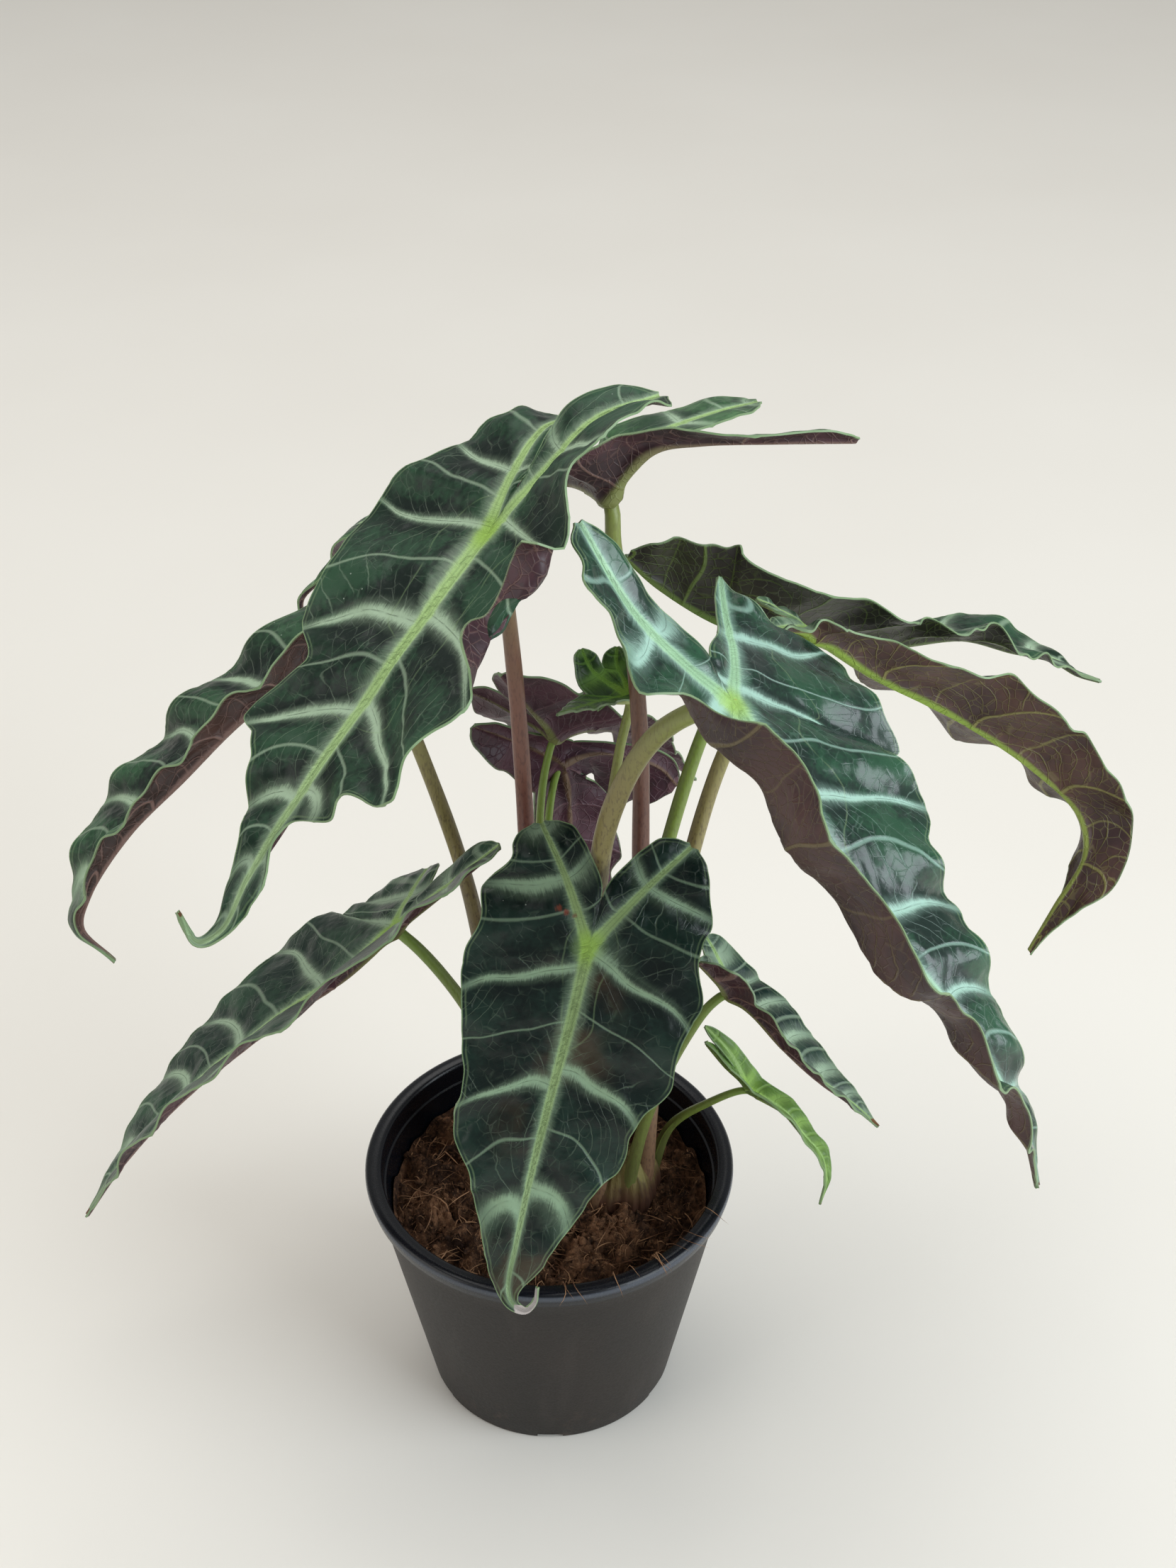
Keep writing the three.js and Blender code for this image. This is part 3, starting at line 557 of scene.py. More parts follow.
def writeHalf(piece, places, leaf, at, t, reach, side, step, edge):
    # What the relief and the colours are worked out from, at each vertex
    size = leaf["size"]
    seed = float(leaf["name"][-2:]) + 0.5 * side["phase"]
    bow = (0.1 + 0.05 * np.sin(9 * at + seed)) * t * (1 - t) * np.tanh(at / 0.15)
    looks = {**leafLooks, **leaf.get("looks", {})}
    fewer = np.where(at >= 0, looks["veins"] / leafShape["midribVeins"], 1)
    step = step / fewer
    phase = (veinPhase(at + bow) * fewer + side["phase"] + 0.1 * np.sin(7.3 * at + 2.1 * seed)
             + 0.05 * np.sin(17 * at + seed))
    phase = phase + 0.1 * bumpyAt(places, 26 * size ** 0.5, seed) * smooth(t, 0.05, 0.4)
    fromVein = np.abs((phase + 0.5) % 1 - 0.5) * step
    fromRib = t * reach
    nearTip = 1 - smooth(np.abs(at), 0.8, 1)
    ribHalf = np.where(at >= 0, 4.2 - 2.9 * np.abs(at) ** 0.9, 4.2 - 2.7 * np.abs(at) ** 0.5)
    ribHalf = size * looks["ribWide"] * ribHalf
    home = np.linalg.norm(places - leaf["carried"]["place"][0], axis=1)
    pillow = (0.5 - 0.5 * np.cos(2 * np.pi * phase)) * smooth(fromRib, 0, 9 * size)
    pillow = pillow * (1 - 0.6 * smooth(t, 0.75, 1))
    groove = np.exp(-(fromVein / (1.5 * size)) ** 2) * smooth(fromRib, 0, 3) * (1 - 0.5 * t)
    channel = np.exp(-(fromRib / (1.1 * ribHalf)) ** 2)
    pucker = bumpyAt(places, 11 * size ** 0.5, seed + 5) * smooth(fromRib, 0, 6 * size)
    pucker = pucker * (0.4 + 0.6 * nearTip)
    arcs = (fromRib - 0.3 * step * np.sin(np.pi * np.abs((phase + 0.5) % 1 - 0.5))) / (7 * size ** 0.5)
    arcs = arcs + 0.8 * bumpyAt(places, 24, seed + 9)
    comb = np.cos(2 * np.pi * arcs) * smooth(fromVein, 0.5, 4) * smooth(fromRib, 1, 8) * smooth(step, 8, 16)
    bumps = relief["pillow"] * pillow * nearTip + relief["pucker"] * pucker + relief["comb"] * comb
    lift = (relief["base"] + leaf["quilt"] * bumps - relief["groove"] * size * groove
            - relief["channel"] * size * channel)
    ridge = np.exp(-(fromRib / (0.8 * ribHalf)) ** 2) * ribHalf * relief["ridge"]
    thick = (relief["wall"] + ridge + relief["veinRidge"] * size * groove * nearTip
             + relief["boss"] * size * np.exp(-(home / 5) ** 2))
    writePlaces(piece, places / 1000)
    for name, values in (("phase", phase), ("step", step), ("fromRib", fromRib), ("edge", edge),
                         ("ribHalf", ribHalf), ("home", home), ("lift", lift), ("thick", thick),
                         ("at", at), ("arcs", arcs)):
        writeField(piece, name, values)


def thicken(sheet):
    # The relief on the upper side, then a body whose ribs and veins stand out underneath
    writePlaces(sheet, readPlaces(sheet) + readNormals(sheet) * readField(sheet, "lift")[:, None] / 1000)
    thick = readField(sheet, "thick")
    most = thick.max()
    group = sheet.vertex_groups.new(name="thickness")
    count = relief["levels"]
    levels = np.rint(thick / most * count).astype(int)
    for level in np.unique(levels):
        group.add(np.flatnonzero(levels == level).tolist(), level / count, "REPLACE")
    finishWith(sheet, "SOLIDIFY", thickness=most / 1000, offset=-1, vertex_group="thickness",
               material_offset=1, material_offset_rim=2)
    sheet.vertex_groups.clear()
    for name in ("lift", "thick"):  # no longer needed
        sheet.data.attributes.remove(sheet.data.attributes[name])
    shadeSmooth(sheet, 50)


# Petioles

petioleShape = dict(columns=20, rows=90)


def stemPath(leaf):
    # From the crown to the insertion, and on under the midrib where the bend allows it
    points = [np.array(point, float) for point in leaf["petiole"]]
    face = unit(np.array([leaf["face"]], float))[0]
    ahead = unit(np.array([leaf["midrib"][1]], float) - leaf["midrib"][0])[0]
    coming = unit(np.array([points[-1] - points[-2]]))[0]
    runsOn = coming.dot(ahead) > -0.35
    if runsOn:
        end = leaf["radius"][1]
        points[-1] = points[-1] - face * end * 0.9
        points += [points[-1] + ahead * 7 + face * end * 0.2, points[-1] + ahead * 20 + face * end * 0.3]
    return points, runsOn


def stemPiece(leaf):
    columns, rows = petioleShape["columns"], petioleShape["rows"]
    piece = addGrid("petiole" + leaf["name"][-2:], columns, rows)
    turn, share = gridShares(piece, columns, rows)
    points, runsOn = stemPath(leaf)
    along, length = ribCurve(points)
    stalk = ribCurve(leaf["petiole"])[1]
    levels = np.linspace(0, 1, rows + 1)
    middle, ahead = along(levels)
    side = np.array([1.0, 0, 0])
    sides = []
    for direction in ahead:
        side = side - side.dot(direction) * direction
        side = side / np.linalg.norm(side)
        sides.append(side)
    sides = np.array(sides)
    others = np.cross(ahead, sides)
    row = np.rint(share * rows).astype(int)
    start, end = leaf["radius"]
    angle = 2 * np.pi * turn
    walked = share * length
    share = np.minimum(walked / stalk, 1)
    radius = start + (end - start) * share ** 0.6
    if runsOn:
        radius = radius * (1 - 0.75 * smooth(walked, stalk - 4, stalk + 18))
    else:
        radius = radius * np.sqrt(1 - 0.85 * smooth(walked, stalk - 5, stalk))
    # the open edges of the sheath on the inner side, fading upwards
    facing = np.arctan2(-middle[0][1] + 4, leaf["axis"] - middle[0][0])
    sheath = 1 - smooth(share, 0.3, 0.62)
    away = np.abs((angle - facing + np.pi) % (2 * np.pi) - np.pi)
    wings = 0.16 * np.exp(-((away - 0.5) / 0.16) ** 2) - 0.14 * np.exp(-(away / 0.3) ** 2)
    radius = radius * (1 + sheath * wings)
    radius = radius * (1 + 0.012 * np.sin(walked / 7 + start) + 0.01 * np.cos(3 * angle + walked / 31))
    across = sides[row] * (radius * np.cos(angle))[:, None] + others[row] * (radius * np.sin(angle))[:, None]
    places = middle[row] + across
    # the top stays under the blade's upper face
    face = unit(np.array([leaf["face"]], float))[0]
    height = (places - np.array(leaf["petiole"][-1])) @ face
    over = np.where((share > 0.94) & (walked < stalk + 5), np.maximum(height + 0.7, 0), 0)
    places = places - face * over[:, None]
    writePlaces(piece, places / 1000)
    writeField(piece, "share", share)
    writeField(piece, "turn", away)
    mergeDoubles(piece)
    fillEnds(piece)
    shadeSmooth(piece, 50)
    return piece


# The leaves, with the same numbers as in the CAD source

leaves = [
    dict(
        name="leaf_01", fine=1, size=1, quilt=1.6,
        crown="crown_left", stalk="petioleRed", radius=[5, 3],
        petiole=[[-4, 4, 104], [-7, 9, 210], [-8, 10, 300], [-11, 6, 380], [-15, -8, 440], [-19, -22, 462]],
        midrib=[[-19, -22, 462], [-36, -46, 449], [-61, -68, 421], [-85, -90, 394], [-105, -104, 366],
            [-115, -111, 348], [-124, -113, 344], [-130, -110, 355]],
        face=[-0.42, -0.42, 0.8], join=0.22, inner=15, wave=3,
        right=dict(rib=[[-19, -22, 462], [-8, 0, 480], [1, 14, 487], [8, 22, 487]],
            width=[44, 44, 58, 48, 30, 18], tilt=[-5, -10, 0, 0, 5, 0],
            swells=[(-0.75, 0.1, -5), (0.3, 0.06, -9), (0.395, 0.03, 9), (0.72, 0.1, -5)]),
        left=dict(folds=[(0.03, 0.15, 0.74, 155, 14)], swells=[(0.3, 0.12, 20), (0.63, 0.09, -13)],
            rib=[[-19, -22, 462], [0, -13, 480], [20, -2, 498], [44, 8, 503]],
            width=[36, 42, 48, 46, 24, 16], tilt=[20, 38, 15, 5, 0, 0], curl=[0, 0, 0, 30, 0, 0]),
    ),
    dict(
        name="leaf_02", fine=1, size=0.9, quilt=1.4,
        looks=dict(mid=tint(56, 92, 64), under=tint(76, 50, 44), underDark=tint(46, 32, 30)),
        crown="crown_left", stalk="petioleOlive", radius=[4.6, 2.8],
        petiole=[[-19, 8, 104], [-25, 13, 200], [-34, 17, 270], [-52, 24, 335], [-68, 29, 380],
                 [-78, 30, 396]],
        midrib=[[-78, 30, 396], [-102, 15, 378], [-125, 5, 362], [-147, -3, 341], [-171, -9, 317],
            [-190, -14, 288], [-194, -16, 272], [-182, -18, 257]],
        face=[-0.5, -0.28, 0.82], join=0.22, inner=12, wave=4,
        right=dict(rib=[[-78, 30, 396], [-64, 38, 404], [-50, 50, 406]],
            width=[34, 34, 32, 44, 44, 40], tilt=[0, 0, -5, -8, 0, 10]),
        left=dict(rib=[[-78, 30, 396], [-62, 20, 410], [-44, 12, 420]],
            width=[30, 22, 16, 15, 16, 16], tilt=[0, 30, 60, 64, 60, 10]),
    ),
    dict(
        name="leaf_03", stem="petioleTopGreen", fine=1, size=0.9, quilt=1.4,
        looks=dict(dark=tint(26, 52, 36), mid=tint(70, 108, 70)),
        crown="crown_right", stalk="petioleRed", radius=[5, 3.1],
        petiole=[[38, 9, 104], [40, 10, 200], [40, 11, 290], [39, 13, 350], [35, 19, 395],
                 [28, 26, 430], [26, 30, 450]],
        midrib=[[26, 30, 451], [9, 60, 443], [-14, 80, 428], [-39, 92, 415], [-63, 97, 408],
            [-83, 97, 400], [-96, 92, 381], [-106, 88, 371], [-106, 86, 362]],
        face=[-0.25, 0.31, 0.92], join=0.2, inner=14, wave=3,
        right=dict(roll=24, rib=[[26, 30, 451], [36, 39, 465], [48, 50, 469], [66, 66, 468], [86, 80, 467]],
            width=[30, 22, 34, 40, 36, 30], tilt=[0, 0, 0, -15, -15, 0], wave=1),
        left=dict(rib=[[26, 30, 451], [32, 28, 462], [44, 26, 474], [60, 25, 477], [91, 26, 477],
                       [120, 30, 475]],
            width=[20, 18, 22, 34, 34, 28], tilt=[14, 4, 55, 30, -15, 0], wave=1,
            swells=[(-0.25, 0.12, -5)]),
    ),
    dict(
        name="leaf_04", fine=1, size=1, quilt=1.6,
        looks=dict(dark=tint(8, 34, 28), mid=tint(34, 80, 54), vein=tint(166, 204, 188),
                   rib=tint(160, 204, 160), gloss=0.24, wax=0.3, shine=0.45, under=tint(72, 46, 44),
                   underDark=tint(44, 26, 30), underVein=tint(104, 92, 62)),
        crown="crown_right", stalk="petioleOlive", radius=[5.6, 4],
        petiole=[[22, -7, 104], [20, -13, 200], [21, -15, 290], [28, -22, 340], [46, -36, 385],
                 [71, -60, 413]],
        midrib=[[71, -60, 413], [94, -90, 391], [116, -112, 362], [135, -122, 341], [155, -130, 318],
            [172, -132, 289], [184, -130, 263], [192, -126, 234]],
        face=[0.48, -0.48, 0.73], join=0.22, inner=12, wave=4,
        right=dict(rib=[[71, -60, 413], [51, -59, 431], [33, -55, 450], [15, -45, 479]],
            width=[24, 16, 66, 58, 42, 24], tilt=[0, 0, -8, 0, 0, 0], curl=[0, 30, 115, 104, 90, 30],
            swells=[(-0.72, 0.07, 8), (-0.35, 0.07, 20)]),
        left=dict(rib=[[71, -60, 413], [72, -30, 417], [70, -10, 421], [69, 10, 426]],
            width=[8, 44, 70, 46, 31, 20], tilt=[0, 0, -5, -5, -5, 0],
            inner=5, swells=[(-0.62, 0.04, 7), (-0.54, 0.09, 18), (-0.47, 0.06, 9), (-0.36, 0.09, 20),
                                   (-0.2, 0.1, 23), (0.06, 0.05, -7)]),
    ),
    dict(
        name="leaf_05", fine=0.9, size=0.85, quilt=1.2,
        looks=dict(under=tint(50, 52, 34), underDark=tint(34, 30, 28), underVein=tint(94, 116, 50),
                   underRib=tint(104, 140, 50)),
        crown="crown_right", stalk="petioleGreen", radius=[4.4, 2.8],
        petiole=[[31, 19, 104], [38, 28, 200], [51, 38, 270], [68, 50, 330], [83, 58, 360], [91, 59, 372]],
        midrib=[[91, 59, 372], [109, 69, 363], [131, 80, 355], [152, 90, 348], [184, 103, 343],
            [208, 110, 332], [228, 115, 324], [241, 117, 315], [251, 118, 311]],
        face=[0.32, 0.17, 0.93], join=0.22, inner=13, wave=3,
        right=dict(rib=[[91, 59, 372], [71, 60, 378], [47, 60, 394], [34, 58, 408]],
            width=[38, 38, 38, 36, 34, 26], tilt=[60, 72, 48, 40, 15, 0],
            swells=[(-0.25, 0.12, 8), (0.3, 0.06, -6)]),
        left=dict(rib=[[91, 59, 372], [81, 74, 377], [74, 90, 385]],
            width=[34, 34, 36, 36, 34, 26], tilt=[0, 0, -20, -28, 15, 0],
            swells=[(-0.17, 0.12, -10), (0.02, 0.06, 6), (0.44, 0.09, -14)]),
    ),
    dict(
        name="leaf_06", fine=0.9, size=0.85, quilt=1.2,
        looks=dict(under=tint(84, 56, 48), underDark=tint(56, 36, 36), underVein=tint(132, 128, 72),
                   underRib=tint(136, 170, 56), ribFade=300),
        crown="crown_right", stalk="petioleOlive", radius=[4.8, 3],
        petiole=[[43, -2, 104], [48, 4, 190], [58, 12, 270], [76, 22, 340], [98, 28, 380], [110, 30, 389]],
        midrib=[[110, 30, 389], [135, 36, 367], [159, 40, 351], [180, 42, 337], [208, 41, 316],
            [230, 37, 294], [234, 31, 275], [222, 22, 254], [212, 16, 235]],
        face=[0.63, 0.15, 0.76], join=0.22, inner=7, wave=3,
        right=dict(rib=[[110, 30, 389], [100, 22, 396], [91, 14, 400]],
            width=[10, 12, 16, 38, 38, 40], tilt=[20, 40, 50, 58, 60, 30]),
        left=dict(rib=[[110, 30, 389], [98, 32, 397], [86, 34, 402]],
            width=[10, 12, 14, 40, 32, 20], tilt=[0, -10, -24, -26, -20, 0]),
    ),
    dict(
        name="leaf_07", fine=0.6, size=0.7, quilt=0.8,
        looks=dict(under=tint(84, 50, 64), underDark=tint(56, 32, 44), underVein=tint(104, 72, 80)),
        crown="crown_left", stalk="petioleGreen", radius=[3.4, 1.6],
        petiole=[[-9, 17, 104], [-6, 32, 180], [-4, 46, 240], [-3, 56, 285], [0, 60, 306], [4, 62, 318]],
        midrib=[[4, 62, 318], [18, 78, 312], [34, 96, 298], [52, 114, 274], [69, 130, 248]],
        face=[0.36, 0.76, 0.55], join=0.22, inner=11, wave=2,
        right=dict(rib=[[4, 62, 318], [-4, 54, 334], [-12, 46, 350], [-18, 40, 363]],
            width=[28, 30, 32, 24, 16, 12], tilt=[0, 20, 25, 4, 0, 0]),
        left=dict(rib=[[4, 62, 318], [-10, 64, 326], [-22, 66, 333], [-33, 67, 338]],
            width=[26, 28, 30, 30, 30, 26], tilt=[0, 0, 0, 0, 0, 0]),
    ),
    dict(
        name="leaf_08", fine=0.6, size=0.7, quilt=0.8,
        looks=dict(under=tint(84, 50, 64), underDark=tint(56, 32, 44), underVein=tint(104, 72, 80),
                   underRib=tint(110, 86, 62), ribFade=200),
        crown="crown_left", stalk="petioleGreen", radius=[3.4, 1.6],
        petiole=[[3, 16, 104], [1, 34, 180], [-1, 50, 230], [0, 62, 270], [3, 68, 290], [6, 70, 299]],
        midrib=[[6, 70, 299], [8, 76, 281], [9, 82, 253], [10, 86, 225], [11, 88, 194], [11, 88, 159]],
        face=[0.1, 0.95, 0.25], join=0.3, inner=7, wave=2,
        right=dict(rib=[[6, 70, 299], [20, 74, 301], [36, 79, 296], [50, 83, 287], [58, 85, 276]],
            width=[44, 44, 16, 26, 30, 26], tilt=[0, 10, 15, 20, 20, 0],
            inner=8),
        left=dict(rib=[[6, 70, 299], [-3, 69, 305], [-16, 61, 317], [-31, 50, 331]],
            width=[17, 18, 18, 20, 22, 22], tilt=[-45, -48, -30, -50, -40, 0]),
    ),
    dict(
        name="leaf_09", fine=0.4, size=0.45, quilt=0.4,
        looks=dict(dark=tint(22, 44, 22), mid=tint(40, 74, 32), vein=tint(110, 152, 64),
                   rib=tint(116, 158, 62)),
        crown="crown_right", stalk="petioleOlive", radius=[3.6, 2],
        petiole=[[23, 13, 104], [20, 20, 200], [24, 28, 270], [31, 38, 325], [35, 44, 348]],
        midrib=[[35, 45, 349], [23, 22, 361], [13, -2, 373], [6, -18, 381]],
        face=[-0.25, -0.5, 0.85], join=0.5, inner=6, wave=0.8,
        right=dict(rib=[[35, 45, 349], [25, 50, 353], [19, 53, 357], [15, 56, 365]],
            width=[12, 12, 14, 12, 10, 8], tilt=[20, 20, 0, -12, -12, 0]),
        left=dict(rib=[[35, 45, 349], [33, 51, 353], [30, 55, 358], [30, 58, 365]],
            width=[8, 8, 8, 8, 7, 6], tilt=[20, 20, 15, 12, 0, 0]),
    ),
    dict(
        name="leaf_10", fine=0.9, size=0.85, quilt=1.0,
        looks=dict(dark=tint(20, 42, 34), mid=tint(48, 78, 58), dryTip=0.02),
        crown="crown_left", stalk="petioleGreen", radius=[4, 2.4],
        petiole=[[-16, -4, 104], [-19, -4, 160], [-30, -6, 210], [-45, -8, 242], [-58, -10, 262],
                 [-65, -10, 268]],
        midrib=[[-65, -10, 268], [-86, -14, 247], [-114, -19, 227], [-138, -24, 208], [-164, -28, 183],
            [-190, -32, 151], [-207, -34, 124]],
        face=[-0.67, -0.12, 0.73], join=0.22, inner=12, wave=1.5,
        right=dict(rib=[[-65, -10, 268], [-58, 8, 272], [-52, 28, 271]],
            width=[34, 44, 56, 45, 36, 24], tilt=[0, 0, -3, -3, 0, 0]),
        left=dict(rib=[[-65, -10, 268], [-42, -10, 289], [-19, -10, 311]],
            width=[28, 30, 36, 36, 36, 30], tilt=[20, 32, 30, 30, 28, 0]),
    ),
    dict(
        name="leaf_11", fine=1, size=0.95, quilt=1.4,
        looks=dict(dark=tint(7, 22, 20), mid=tint(22, 46, 38), vein=tint(142, 170, 140),
                   rib=tint(148, 176, 116), gloss=0.3, wax=0, shine=0.3, warmth=0.4, veins=3, ribWide=0.9,
                   dryTip=0.1, dry=tint(188, 180, 176), under=tint(150, 140, 158),
                   underDark=tint(110, 96, 120),
                   stains=[((0.006, -0.036, 0.299), 0.0022, tint(116, 60, 44)),
                           ((0.009, -0.037, 0.298), 0.0018, tint(124, 66, 50)),
                           ((0.0125, -0.038, 0.297), 0.0016, tint(110, 58, 44)),
                           ((0.036, -0.075, 0.19), 0.003, tint(96, 58, 38))]),
        crown="crown_left", stalk="petioleGreen", radius=[4.6, 2.8],
        petiole=[[4, -8, 104], [8, -14, 180], [12, -24, 240], [16, -36, 274], [18, -45, 286]],
        midrib=[[18, -45, 286], [11, -56, 258], [2, -68, 224], [-6, -78, 191], [-12, -86, 162],
                [-16, -92, 138], [-14, -95, 133], [-9, -97, 131], [-5, -96, 134], [-4, -94, 141]],
        face=[0, -0.85, 0.53], join=0.25, inner=14, wave=2,
        right=dict(rib=[[18, -45, 286], [9, -28, 308], [-1, -12, 324]],
            width=[28, 40, 49, 41, 29, 12], tilt=[0, 0, 0, 0, 0, 0],
            swells=[(-0.72, 0.12, -4), (0.2, 0.07, -5)]),
        left=dict(rib=[[18, -45, 286], [39, -28, 300], [60, -12, 312]],
            width=[26, 38, 51, 40, 31, 12], tilt=[0, 0, 0, 0, 0, 0]),
    ),
    dict(
        name="leaf_12", fine=0.5, size=0.55, quilt=0.7,
        looks=dict(dark=tint(16, 36, 34), mid=tint(44, 72, 60), dryTip=0.05),
        crown="crown_right", stalk="petioleGreen", radius=[3.6, 2],
        petiole=[[34, -10, 104], [44, -10, 160], [60, -14, 210], [71, -18, 234], [78, -20, 241]],
        midrib=[[78, -20, 241], [87, -26, 237], [102, -34, 222], [117, -41, 210], [131, -46, 201],
                [141, -50, 193]],
        face=[0.58, -0.31, 0.75], join=0.22, inner=7, wave=1,
        right=dict(rib=[[78, -20, 241], [71, -23, 252], [64, -25, 262]],
            width=[14, 17, 18, 18, 16, 12], tilt=[70, 74, 60, 50, 45, 0]),
        left=dict(rib=[[78, -20, 241], [74, -11, 250], [68, -3, 258]],
            width=[12, 14, 20, 20, 18, 16], tilt=[0, 0, 0, 0, 0, 0]),
    ),
    dict(
        name="leaf_13", fine=0.35, size=0.35, quilt=0.4,
        looks=dict(dark=tint(66, 96, 40), mid=tint(98, 136, 58), vein=tint(140, 176, 90),
                   under=tint(96, 120, 56), underDark=tint(72, 90, 44), underVein=tint(130, 160, 70)),
        crown="crown_right", stalk="petioleGreen", radius=[3, 1.6],
        petiole=[[48, 12, 106], [56, 10, 136], [71, 5, 154], [90, 0, 168]],
        midrib=[[90, 0, 168], [106, -9, 162], [115, -14, 152], [122, -18, 145], [125, -22, 134],
                [123, -25, 121]],
        face=[0.43, -0.24, 0.87], join=0.3, inner=4, wave=0.6,
        right=dict(rib=[[90, 0, 168], [80, 1, 180], [70, 2, 194]],
            width=[6, 7, 9, 9, 9, 8], tilt=[50, 50, 50, 40, 20, 0]),
        left=dict(rib=[[90, 0, 168], [82, 5, 184], [70, 8, 198]],
            width=[6, 6, 9, 9, 8, 8], tilt=[20, 20, 0, 0, 10, 0]),
    ),
]


# Leaf colours

leafLooks = dict(
    dark=tint(9, 26, 20), mid=tint(42, 76, 53), vein=tint(166, 190, 162), rib=tint(168, 202, 130),
    glow=tint(150, 190, 76), margin=tint(134, 160, 116), dry=tint(120, 84, 52), dryTip=0.01, stains=(),
    under=tint(74, 42, 50), underDark=tint(42, 26, 32), underVein=tint(128, 100, 92),
    underRib=tint(120, 128, 70), ribFade=60, veins=5, ribWide=1.15,
    gloss=0.36, wax=0.04, shine=0.25, warmth=0.0,
)


# How strongly each mark shows over what is under it
topMarks = dict(
    net=0.08, side=0.2, minor=0.42, halo=0.22, ribHalo=0.34, vein=0.88, thread=0.35, rib=0.92, ribEdge=0.7,
    stripe=0.22, ribGlow=0.8, glow=0.3, rimVein=0.24, rim=0.7, specks=0.5,
)
underMarks = dict(net=0.26, side=0.5, core=0.8, minor=0.5, rib=0.9, rim=0.5)


def leafFields(look):
    return (look.field(name) for name in ("phase", "step", "fromRib", "edge", "ribHalf", "home"))


def fromMinorVein(look, phase, step):
    # How far it is to the thin vein halfway between two main ones
    return look.fromWhole(phase + 0.5 + (look.noise(22, 2) - 0.5) * 0.22) * step


